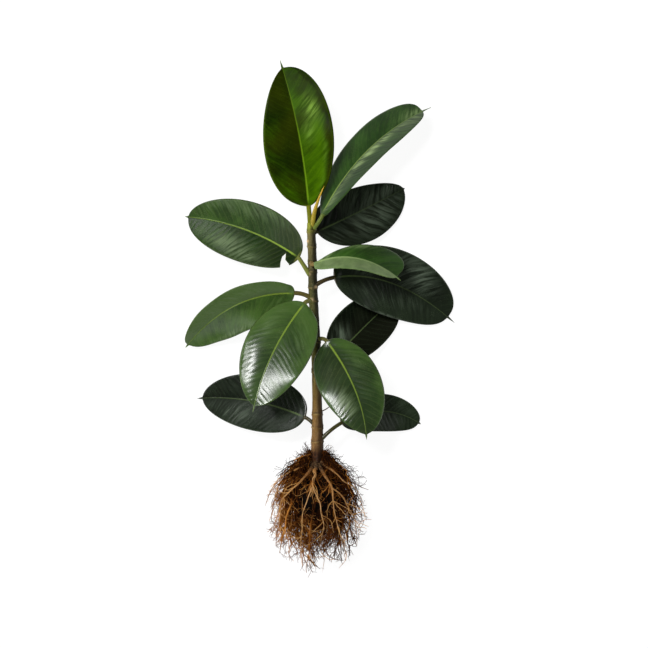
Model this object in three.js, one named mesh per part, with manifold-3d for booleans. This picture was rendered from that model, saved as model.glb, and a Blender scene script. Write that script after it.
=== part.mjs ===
// A bare-root rubber plant lying on its back: one stem, twelve leaves, a bud and a ball of roots.
// Millimetres. +X is the plant's right, +Y runs from the roots to the top leaf, +Z points up from the
// surface.
// Heights along Y are measured from the root collar, depths along Z from the axis of the stem.
// The finished group is moved so that its origin is the middle of the underside of its bounding box.
import * as THREE from "three";
import { ParametricGeometry } from "three/addons/geometries/ParametricGeometry.js";
import { mergeVertices } from "three/addons/utils/BufferGeometryUtils.js";
import Module from "manifold-3d";

// ---- driving dimensions ----
const GAP = 0.3; // clearance between pieces that touch
const FLOOR = -48; // the surface under the plant, below the axis of the stem
const BLADE_THICKNESS = 2.0; // at the midrib; the margin is sharp
const TIP_THICKNESS = 0.9;
const DRIP_TIP_WIDTH = 6; // where the drip tip leaves the blade
const PETIOLE_SWELL = 1.25; // the foot of a petiole over its middle
const LEAF_SIDES = 12;
const PETIOLE_STEPS = 6;
const BLADE_STEPS = 20;
const STEM_SIDES = 14;
const STEM_STEPS = 34;
const ROOT_SIDES = 8;
const ROOT_STEPS = 12;

// The stem: points of its axis from the crown to the growing end, with the radius at each.
const STEM = [
  { at: [1.2, -20], radius: 5.4 },
  { at: [1.8, -14], radius: 7.0 },
  { at: [2.4, -6], radius: 7.7 },
  { at: [2.8, 8], radius: 8.0 },
  { at: [3, 24], radius: 7.2 },
  { at: [3.1, 38], radius: 6.9 },
  { at: [2.6, 69], radius: 6.0 },
  { at: [1.9, 106], radius: 6.0 },
  { at: [1.2, 138], radius: 6.0 },
  { at: [-0.6, 169], radius: 5.8 },
  { at: [-2.6, 206], radius: 5.7 },
  { at: [-3.6, 256], radius: 5.4 },
  { at: [-4.8, 279], radius: 5.4 },
  { at: [-5.6, 290], radius: 4.2 },
];
const NODE_HEIGHTS = [18, 36, 52, 106, 143, 193, 211, 230, 242, 262, 281]; // leaf scars round the stem
const NODE_SWELL = 0.5; // how far a scar stands out
const NODE_LENGTH = 3.2; // how far along the stem it reaches

// The ball of fine roots: an ellipsoid, flat where it lies on the surface.
const BALL = { x: 3, y: -58, halfWidth: 57, halfLength: 66, front: 38, back: 56 };
const BALL_LUMP = 1.8; // height of the lumps on its surface
const BALL_MERIDIANS = 26;
const BALL_PARALLELS = 16;

// The leaves. neck, middle and tip are points of the midrib: where the petiole ends, half way, and the
// drip tip. foot is the height of the petiole's foot on the stem. Each pair is for the left and the right
// half, looking from the neck to the tip: halfWidth at the widest, widest as a share of the length, and
// round, which is small for a square shoulder and large for a slender one. fold lifts a half and roll
// turns the whole blade, in degrees. arch is how far a margin bends back, as a share of the half width.
// bend is how far the petiole runs on along the midrib before it turns to the stem, as a share of its
// length.
const LEAVES = {
  leaf_top: {
    foot: 287, petiole: 2.9, bend: 0.5,
    neck: [-8, 311, 4], middle: [-20.5, 402.5, 15], tip: [-44, 494, 6],
    halfWidth: [46.5, 43.5], widest: [0.41, 0.57], round: [0.5, 0.62], fold: [12, 12], arch: [0.05, 0.05],
    roll: 0, drip: 0.06,
  },
  leaf_top_right: {
    foot: 280, petiole: 2.5, bend: 0.5,
    neck: [9, 299, 4], middle: [66, 380.5, -4], tip: [145.5, 435.5, -14],
    halfWidth: [37, 39], widest: [0.65, 0.55], round: [0.6, 0.55], fold: [14, 9], arch: [0.05, 0.05],
    roll: -55, drip: 0.06,
  },
  leaf_back_right: {
    foot: 268, petiole: 2.3, bend: 0.5,
    neck: [2.5, 279.5, -11], middle: [57, 306, -34], tip: [113.5, 335.5, -47],
    halfWidth: [32, 40], widest: [0.35, 0.5], round: [0.3, 0.58], fold: [6, 6], arch: [0.05, 0.05],
    roll: 0, drip: 0.015,
  },
  leaf_upper_left: {
    foot: 219, petiole: 2.6, bend: 0.05,
    neck: [-20.5, 246.5, 4], middle: [-89, 283, -28], tip: [-165, 299.6, -47],
    halfWidth: [41, 36.5], widest: [0.5, 0.43], round: [0.45, 0.41], fold: [8, 8], arch: [0.05, 0.05],
    roll: 0, drip: 0.03,
  },
  leaf_front_right: {
    foot: 243, petiole: 2.5, bend: 0.5,
    neck: [-1, 238.5, 12], middle: [52.5, 244.5, 32], tip: [106, 217.5, 46],
    halfWidth: [34, 33], widest: [0.8, 0.5], round: [1.15, 0.45], fold: [14, 12], arch: [0.05, 0.05],
    roll: -55, drip: 0.05,
  },
  leaf_right: {
    foot: 210, petiole: 2.7, bend: 0.5,
    neck: [24, 222, -4], middle: [99.5, 214, -28], tip: [177, 164.5, -47],
    halfWidth: [43.5, 41.5], widest: [0.5, 0.5], round: [0.4, 0.45], fold: [8, 8], arch: [0.05, 0.05],
    roll: 0, drip: 0.06,
  },
  leaf_mid_left: {
    foot: 193, petiole: 2.8, bend: 0.6,
    neck: [-25.5, 202.5, 5], middle: [-101, 186.5, 2], tip: [-163.5, 134, -36],
    halfWidth: [39.5, 28.5], widest: [0.5, 0.46], round: [0.42, 0.46], fold: [5, 30], arch: [0.1, 0.05],
    roll: -25, drip: 0.03,
  },
  leaf_front_left: {
    foot: 190, petiole: 2.8, bend: 0.5,
    neck: [-13, 189.5, 11], middle: [-53, 126, 36], tip: [-77, 54, 46],
    halfWidth: [44, 38.5], widest: [0.44, 0.47], round: [0.42, 0.6], fold: [13, 8], arch: [0.08, 0.25],
    roll: 0, drip: 0.06,
  },
  leaf_behind_right: {
    foot: 108, petiole: 2.4, bend: 0.5,
    neck: [24, 121, -11], middle: [61, 159, -35], tip: [102, 197.5, -47],
    halfWidth: [35, 32], widest: [0.48, 0.55], round: [0.42, 0.42], fold: [6, 6], arch: [0.05, 0.05],
    roll: 0, drip: 0.05,
  },
  leaf_front_lower_right: {
    foot: 143, petiole: 2.6, bend: 0.5,
    neck: [15, 142, 10], middle: [50, 81.5, 34], tip: [64, 20, 44],
    halfWidth: [36, 41], widest: [0.45, 0.4], round: [0.5, 0.42], fold: [-4, 16], arch: [0.12, 0.2],
    roll: 0, drip: 0.06,
  },
  leaf_lower_left: {
    foot: 31, petiole: 2.4, bend: 0.5,
    neck: [-12.5, 47, -2], middle: [-79.5, 67, -26], tip: [-149.5, 69.5, -47],
    halfWidth: [36.5, 35], widest: [0.46, 0.43], round: [0.45, 0.42], fold: [6, 6], arch: [0.05, 0.05],
    roll: 0, drip: 0.05,
  },
  leaf_lower_right: {
    foot: 14, petiole: 2.4, bend: 0.5,
    neck: [33, 40, -4], middle: [84.5, 54, -27], tip: [134, 37, -45],
    halfWidth: [22, 25.5], widest: [0.48, 0.5], round: [0.45, 0.42], fold: [6, 6], arch: [0.05, 0.05],
    roll: 0, drip: 0.03,
  },
};
// The tear in the lower half of leaf_upper_left, next to its neck.
const TEAR = [[-36.5, 252], [-41, 248], [-43, 241], [-44, 228], [-29, 228], [-33, 239], [-37.2, 244]];

// The bud's sheath and the dry twig: x, y, z along the middle, then the radius at the foot and at the tip.
const SHEATH = {
  points: [[-3.6, 286, 1], [-0.9, 303, 7], [4.4, 319, 13], [11.3, 335.5, 19]],
  radius: [3.2, 0.6],
};
const TWIG = {
  points: [[2.6, 53, 1], [12, 56.5, 3], [19, 61, 5]],
  radius: [1.1, 0.6],
};

// The main roots: x, y, and the depth as a share of the way from the middle of the ball to its surface,
// positive in front and negative behind; then the radius at the thick end and at the tip.
const ROOTS = {
  root_centre: {
    points: [[1.5, -6, 0], [0, -20, 0.75], [-3, -40, 1]], radius: [4.4, 1.8],
  },
  root_centre_left: {
    points: [[-3, -38, 1], [-12.5, -61, 1], [-15.6, -81, 1], [-17, -112, 1], [-9.5, -126, 0.5],
      [-6, -138, 0]],
    radius: [1.5, 0.6],
  },
  root_centre_right: {
    points: [[-3, -38, 1], [5.5, -58, 1], [8, -72, 1], [12, -88, 1], [6.6, -103, 1], [7, -118, 0.6],
      [12, -134, 0], [9.5, -147, 0]],
    radius: [1.5, 0.6],
  },
  root_left: {
    points: [[-1, -10, 0.1], [-8, -21, 0.7], [-18.5, -32, 1], [-29, -42, 1], [-40, -54, 1], [-44, -70, 1],
      [-43, -90, 0.8], [-38, -116, 0]],
    radius: [3.3, 0.6],
  },
  root_far_left: {
    points: [[-2, -7, 0], [-19, -15.5, 0.6], [-33.5, -22, 0.7], [-47, -31, 0.3], [-55, -45, 0],
      [-63, -65, 0]],
    radius: [2.8, 0.6],
  },
  root_right: {
    points: [[3, -10, 0.1], [9.5, -20, 0.7], [16, -29, 1], [21, -39.5, 1], [22.5, -55, 1], [24.5, -70, 1],
      [28.5, -88, 1], [33.5, -106, 0.8], [40.8, -129, 0]],
    radius: [3.3, 0.6],
  },
  root_right_branch: {
    points: [[20, -39, 1], [32.5, -47.5, 1], [39, -60, 1], [46, -72, 0.8], [51, -84, 0.5], [52, -116, 0]],
    radius: [1.4, 0.6],
  },
  root_far_right: {
    points: [[4, -7, 0], [18, -16, 0.6], [36, -31, 0.8], [49, -41, 0.5], [56, -50, 0], [61, -63, 0]],
    radius: [3.0, 0.6],
  },
  root_back_left: {
    points: [[-1, -10, -0.1], [-12, -24, -0.6], [-28, -50, -0.72], [-32, -85, -0.7], [-22, -120, 0]],
    radius: [3.4, 0.8],
  },
  root_back_middle: {
    points: [[1, -12, -0.1], [3, -28, -0.6], [0, -55, -0.72], [6, -90, -0.7], [14, -122, 0]],
    radius: [3.2, 0.8],
  },
  root_back_right: {
    points: [[4, -10, -0.1], [16, -24, -0.6], [32, -50, -0.72], [35, -84, -0.7], [26, -118, 0]],
    radius: [3.4, 0.8],
  },
};

const FINISHES = {
  stem: { color: 0x6d5a38, roughness: 0.75, metalness: 0 },
  sheath: { color: 0xb8a23a, roughness: 0.5, metalness: 0 },
  twig: { color: 0x4a3a26, roughness: 0.85, metalness: 0 },
  youngLeaf: { color: 0x46640c, roughness: 0.35, metalness: 0 },
  leaf: { color: 0x2b4a2a, roughness: 0.25, metalness: 0 },
  shadedLeaf: { color: 0x1d2e22, roughness: 0.3, metalness: 0 },
  mainRoot: { color: 0x9c6f3c, roughness: 0.85, metalness: 0 },
  fineRoots: { color: 0x4a2d16, roughness: 0.95, metalness: 0 },
};
const YOUNG_LEAVES = ["leaf_top"];
const SHADED_LEAVES = [
  "leaf_back_right",
  "leaf_right",
  "leaf_behind_right",
  "leaf_lower_left",
  "leaf_lower_right",
];

const UP = new THREE.Vector3(0, 0, 1);
const wasm = await Module();
wasm.setup();

// ---- solids ----

// A geometry as a manifold solid, with its seams and poles closed.
function solidOf(geometry) {
  const bare = new THREE.BufferGeometry();
  bare.setAttribute("position", geometry.getAttribute("position"));
  bare.setIndex(geometry.getIndex());
  const merged = mergeVertices(bare, 1e-4);
  const index = merged.index.array;
  const kept = [];
  for (let i = 0; i < index.length; i += 3) {
    const [a, b, c] = [index[i], index[i + 1], index[i + 2]];
    if (a !== b && b !== c && c !== a) kept.push(a, b, c);
  }
  return new wasm.Manifold(
    new wasm.Mesh({
      numProp: 3,
      vertProperties: merged.attributes.position.array,
      triVerts: new Uint32Array(kept),
    }),
  );
}

// The largest body of a manifold solid, as a geometry.
function geometryOf(solid) {
  const bodies = solid.decompose().sort((a, b) => b.volume() - a.volume());
  const mesh = bodies[0].getMesh();
  const geometry = new THREE.BufferGeometry();
  geometry.setAttribute("position", new THREE.BufferAttribute(mesh.vertProperties, 3));
  geometry.setIndex(new THREE.BufferAttribute(mesh.triVerts, 1));
  geometry.computeVertexNormals();
  return geometry;
}

// A closed skin through rings of points: ring(i, angle, target) gives a point of ring i, and the first and
// last rings are single points. The angle turns so that the faces look outwards.
function skin(ringCount, sides, ring) {
  const last = ringCount - 1;
  const angleAt = (u) => (2 * Math.PI * (Math.round(u * sides) % sides)) / sides;
  const pointAt = (u, v, target) => ring(Math.round(v * last), angleAt(u), target);
  return new ParametricGeometry(pointAt, sides, last);
}

// A tube along a curve with round ends, radiusAt(share, point) giving its radius.
function tube(curve, radiusAt, sides, steps) {
  const frames = curve.computeFrenetFrames(steps, false);
  const points = curve.getSpacedPoints(steps);
  return skin(steps + 3, sides, (i, angle, target) => {
    const k = THREE.MathUtils.clamp(i - 1, 0, steps);
    const radius = i === 0 || i === steps + 2 ? 0 : radiusAt(k / steps, points[k]);
    target.copy(points[k]);
    target.addScaledVector(frames.normals[k], radius * Math.cos(angle));
    target.addScaledVector(frames.binormals[k], radius * Math.sin(angle));
  });
}

// ---- stem ----

const stemAxis = new THREE.CatmullRomCurve3(STEM.map(({ at }) => new THREE.Vector3(at[0], at[1], 0)));

// The radius of the stem at a height: a straight taper between the given points, with a ring at each scar.
function stemRadius(height) {
  const above = Math.max(1, STEM.findIndex(({ at }) => at[1] >= height));
  const low = STEM[above - 1];
  const high = STEM[above];
  const taper = THREE.MathUtils.mapLinear(height, low.at[1], high.at[1], low.radius, high.radius);
  const ringAt = (node) => NODE_SWELL * Math.exp(-(((height - node) / NODE_LENGTH) ** 2));
  return taper + Math.max(...NODE_HEIGHTS.map(ringAt));
}

// The point of the stem's axis at a height.
function stemPoint(height) {
  const above = Math.max(1, STEM.findIndex(({ at }) => at[1] >= height));
  const low = STEM[above - 1].at;
  const high = STEM[above].at;
  return new THREE.Vector3(THREE.MathUtils.mapLinear(height, low[1], high[1], low[0], high[0]), height, 0);
}

function stemGeometry(clearance = 0) {
  return tube(stemAxis, (share, point) => stemRadius(point.y) + clearance, STEM_SIDES, STEM_STEPS);
}

// ---- leaves ----

// The curve through three points that reaches the middle one half way.
function curveThrough(start, middle, end) {
  const control = middle.clone().multiplyScalar(2).addScaledVector(start, -0.5).addScaledVector(end, -0.5);
  return new THREE.QuadraticBezierCurve3(start, control, end);
}

// The side and the upper normal of a leaf that points along a direction, rolled by an angle in degrees.
function leafFrame(direction, roll) {
  const flatNormal = UP.clone().addScaledVector(direction, -UP.dot(direction)).normalize();
  const normal = flatNormal.applyAxisAngle(direction, THREE.MathUtils.degToRad(roll));
  return { side: direction.clone().cross(normal), normal };
}

// The half width of a blade at a share of its length: a rounded outline that narrows into the drip tip.
function halfWidth(leaf, share, half) {
  const along = Math.min(share / (1 - leaf.drip), 1);
  const widest = leaf.widest[half];
  const round = leaf.round[half];
  const rise = (along / widest) ** round;
  const fall = ((1 - along) / (1 - widest)) ** (round * (1 - widest) / widest);
  const outline = leaf.halfWidth[half] * rise * fall;
  const neck = leaf.petiole * Math.max(0, 1 - share / 0.1);
  const drip = share > 0.7 ? (DRIP_TIP_WIDTH / 2) * Math.min(1, (1 - share) / (2 * leaf.drip)) : 0;
  return Math.cbrt(outline ** 3 + neck ** 3 + drip ** 3);
}

// Shares of the blade's length at which its sections stand, closer together at both ends.
function bladeShares() {
  const even = Array.from({ length: BLADE_STEPS }, (_, i) => (i + 1) / (BLADE_STEPS + 1));
  return even.map((x) => x - Math.sin(2 * Math.PI * x) / (2.35 * Math.PI));
}

// The sections of a leaf from the foot of its petiole to its tip: a round petiole that widens into a blade.
function leafSections(leaf) {
  const [neck, middle, tip] = [leaf.neck, leaf.middle, leaf.tip].map((p) => new THREE.Vector3(...p));
  const midrib = curveThrough(neck, middle, tip);
  const heading = midrib.getTangent(0);
  const foot = stemPoint(leaf.foot);
  const bend = neck.clone().addScaledVector(heading, -foot.distanceTo(neck) * leaf.bend);
  const petiole = new THREE.QuadraticBezierCurve3(foot, bend, neck);
  const sections = [];
  for (let i = 0; i < PETIOLE_STEPS; i++) {
    const share = i / PETIOLE_STEPS;
    const radius = leaf.petiole * THREE.MathUtils.lerp(PETIOLE_SWELL, 1, Math.min(1, 2 * share));
    const frame = leafFrame(petiole.getTangent(share), leaf.roll * share);
    const centre = petiole.getPoint(share);
    sections.push({ centre, ...frame, widths: [radius, radius], thick: radius, flat: 0 });
  }
  for (const share of bladeShares()) {
    const frame = leafFrame(midrib.getTangent(share), leaf.roll);
    const widths = [halfWidth(leaf, share, 0), halfWidth(leaf, share, 1)];
    const flat = THREE.MathUtils.smoothstep(share, 0, 0.14);
    const bladeHalf = THREE.MathUtils.lerp(BLADE_THICKNESS, TIP_THICKNESS, share) / 2;
    const thick = THREE.MathUtils.lerp(leaf.petiole, bladeHalf, flat);
    sections.push({ centre: midrib.getPoint(share), ...frame, widths, thick, flat });
  }
  const first = { ...sections[0], widths: [0, 0], thick: 0 };
  const last = { ...sections[sections.length - 1], centre: tip, widths: [0, 0], thick: 0 };
  return [first, ...sections, last];
}

function leafGeometry(leaf) {
  const sections = leafSections(leaf);
  const slopes = leaf.fold.map((degrees) => Math.tan(THREE.MathUtils.degToRad(degrees)));
  return skin(sections.length, LEAF_SIDES, (i, angle, target) => {
    const { centre, side, normal, widths, thick, flat } = sections[i];
    const across = Math.cos(angle);
    const half = across > 0 ? 1 : 0;
    const width = widths[half];
    const lift = flat * width * (slopes[half] * Math.abs(across) - leaf.arch[half] * across * across);
    target.copy(centre);
    target.addScaledVector(side, width * across);
    target.addScaledVector(normal, lift - thick * Math.sin(angle));
  });
}

// ---- roots ----

// A point of the ball of roots: depth is a share of the way from its middle to its surface.
function ballPoint(x, y, depth) {
  const square = 1 - ((x - BALL.x) / BALL.halfWidth) ** 2 - ((y - BALL.y) / BALL.halfLength) ** 2;
  const reach = depth > 0 ? BALL.front : BALL.back;
  return new THREE.Vector3(x, y, depth * reach * Math.sqrt(Math.max(0, square)));
}

function rootGeometry(root, clearance = 0) {
  const curve = new THREE.CatmullRomCurve3(root.points.map((point) => ballPoint(...point)));
  const [thickEnd, thinEnd] = root.radius;
  const radiusAt = (share) => THREE.MathUtils.lerp(thickEnd, thinEnd, share ** 0.7) + clearance;
  return tube(curve, radiusAt, ROOT_SIDES, ROOT_STEPS);
}

// The lumpy ellipsoid of fine roots, cut flat by the surface it lies on.
function ballGeometry() {
  const geometry = new THREE.SphereGeometry(1, BALL_MERIDIANS, BALL_PARALLELS);
  const position = geometry.getAttribute("position");
  const point = new THREE.Vector3();
  for (let i = 0; i < position.count; i++) {
    point.fromBufferAttribute(position, i);
    const lump = Math.sin(5 * point.x + 1) * Math.sin(6 * point.y + 2) * Math.sin(5 * point.z + 3);
    const depth = point.z > 0 ? BALL.front : BALL.back;
    point.multiply(new THREE.Vector3(BALL.halfWidth, BALL.halfLength, depth));
    point.addScaledVector(point.clone().normalize(), BALL_LUMP * lump);
    position.setXYZ(i, point.x + BALL.x, point.y + BALL.y, Math.max(point.z, FLOOR));
  }
  return geometry;
}

// ---- assembly ----

const plant = new THREE.Group();

function add(name, geometry, finish) {
  const mesh = new THREE.Mesh(geometry, new THREE.MeshStandardMaterial(finish));
  mesh.name = name;
  plant.add(mesh);
}

const stemClearance = solidOf(stemGeometry(GAP));
add("stem", geometryOf(solidOf(stemGeometry())), FINISHES.stem);

// Every leaf, the sheath and the twig are cut to the surface of the stem that they grow from.
for (const [name, leaf] of Object.entries(LEAVES)) {
  let solid = solidOf(leafGeometry(leaf)).subtract(stemClearance);
  if (name === "leaf_upper_left") {
    const outline = new THREE.Shape(TEAR.map(([x, y]) => new THREE.Vector2(x, y)));
    const wedge = new THREE.ExtrudeGeometry(outline, { depth: 2 * Math.abs(FLOOR), bevelEnabled: false });
    solid = solid.subtract(solidOf(wedge.translate(0, 0, FLOOR)));
  }
  let finish = FINISHES.leaf;
  if (YOUNG_LEAVES.includes(name)) finish = FINISHES.youngLeaf;
  if (SHADED_LEAVES.includes(name)) finish = FINISHES.shadedLeaf;
  add(name, geometryOf(solid), finish);
}

function shootGeometry({ points, radius }, clearance = 0) {
  const curve = new THREE.CatmullRomCurve3(points.map((point) => new THREE.Vector3(...point)));
  const radiusAt = (share) => THREE.MathUtils.lerp(radius[0], radius[1], share) + clearance;
  return tube(curve, radiusAt, ROOT_SIDES, ROOT_STEPS);
}
let sheath = solidOf(shootGeometry(SHEATH)).subtract(stemClearance);
for (const leaf of [LEAVES.leaf_top, LEAVES.leaf_top_right]) {
  sheath = sheath.subtract(solidOf(leafGeometry({ ...leaf, petiole: leaf.petiole + GAP })));
}
add("bud_sheath", geometryOf(sheath), FINISHES.sheath);
add("side_twig", geometryOf(solidOf(shootGeometry(TWIG)).subtract(stemClearance)), FINISHES.twig);

// Each main root is cut to the crown and to the roots before it, and the ball of fine roots to them all.
const rootClearances = [stemClearance];
for (const [name, root] of Object.entries(ROOTS)) {
  const solid = rootClearances.reduce((rest, taken) => rest.subtract(taken), solidOf(rootGeometry(root)));
  add(name, geometryOf(solid), FINISHES.mainRoot);
  rootClearances.push(solidOf(rootGeometry(root, GAP)));
}
const ball = rootClearances.reduce((rest, taken) => rest.subtract(taken), solidOf(ballGeometry()));
add("fibrous_roots", geometryOf(ball), FINISHES.fineRoots);

const box = new THREE.Box3().setFromObject(plant);
const middle = box.getCenter(new THREE.Vector3());
plant.position.set(-middle.x, -middle.y, -box.min.z);

export default plant;
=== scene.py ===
"""A bare-root rubber plant lying on its back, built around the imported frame."""
import math

import bpy
import numpy as np
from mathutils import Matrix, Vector


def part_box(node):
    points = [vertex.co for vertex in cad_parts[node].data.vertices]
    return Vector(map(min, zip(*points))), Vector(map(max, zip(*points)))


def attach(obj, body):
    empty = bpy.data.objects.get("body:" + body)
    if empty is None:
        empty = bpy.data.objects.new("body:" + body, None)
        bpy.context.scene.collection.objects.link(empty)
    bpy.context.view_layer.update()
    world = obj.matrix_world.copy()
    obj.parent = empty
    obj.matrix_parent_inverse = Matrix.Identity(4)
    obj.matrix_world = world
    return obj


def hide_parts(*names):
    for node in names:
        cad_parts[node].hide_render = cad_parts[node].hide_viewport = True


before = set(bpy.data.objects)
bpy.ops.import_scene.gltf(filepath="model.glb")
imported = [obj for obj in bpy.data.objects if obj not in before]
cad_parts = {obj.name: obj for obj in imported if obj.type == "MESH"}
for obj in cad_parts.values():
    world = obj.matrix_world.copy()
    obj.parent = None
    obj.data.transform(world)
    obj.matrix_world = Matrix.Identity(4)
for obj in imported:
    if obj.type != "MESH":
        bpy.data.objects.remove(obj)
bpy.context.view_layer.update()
bpy.ops.object.select_all(action="DESELECT")

# ---- driving dimensions, in millimetres along the plant, from the root collar on the axis of the stem ----
MM = 0.001
STEM_DEPTH = 48  # the axis of the stem above the surface
TOP_TIP = 494  # height of the tip of the top leaf
RIGHT_TIP = 177  # the tip of the right leaf, to the side of the collar
COLLAR = np.array([
    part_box("leaf_right")[1].x - RIGHT_TIP * MM,
    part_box("leaf_top")[1].y - TOP_TIP * MM,
    STEM_DEPTH * MM,
])

STEM = [
    (-24, 1.0, 3.0), (-19, 1.3, 6.4), (-14, 1.8, 7.2), (-6, 2.4, 7.7), (8, 2.8, 8.0), (24, 3, 7.2),
    (38, 3.1, 6.9), (69, 2.6, 6.0), (106, 1.9, 6.0),
    (138, 1.2, 6.0), (169, -0.6, 5.8), (206, -2.6, 5.7), (256, -3.6, 5.4), (279, -4.8, 5.4), (290, -5.6, 4.2),
]  # height, side offset, radius
PALE_SPOTS = [
    (267.5, 1.12, 1.0), (226, 1.2, 0.5), (194, 1.35, 0.8), (210, 1.75, 0.6),
]  # height, turn, strength
SCARS = [18, 36, 52, 106, 143, 193, 211, 230, 242, 262, 281]  # heights of the leaf scars
SCAR_TILT = 0.9  # how far a scar rises and falls on its way round the stem
SCAR_TURN = 2.4  # the angle from one scar to the next, in radians
STEM_ROWS = 420
STEM_SIDES = 48

BLADE_THICKNESS = 0.9
DRIP_TIP_WIDTH = 6
PETIOLE_SWELL = 1.25
VEIN_SPACING = 7.6
VEIN_LEAN = 0.62  # how far a side vein runs forward for each millimetre across
VEIN_DEPTH = 0.14
MARGIN_WAVE = 0.8
RIB_HEIGHT = 1.4  # of the midrib on the underside
RIB_WIDTH = (1.4, 0.35)  # half the width of the midrib, at the base and at the tip

PETIOLE_ROWS = 16
NECK_ROWS = 14
BLADE_ROWS = 230
TIP_ROWS = 20
UPPER_COLUMNS = 64
UNDER_COLUMNS = 20

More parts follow.
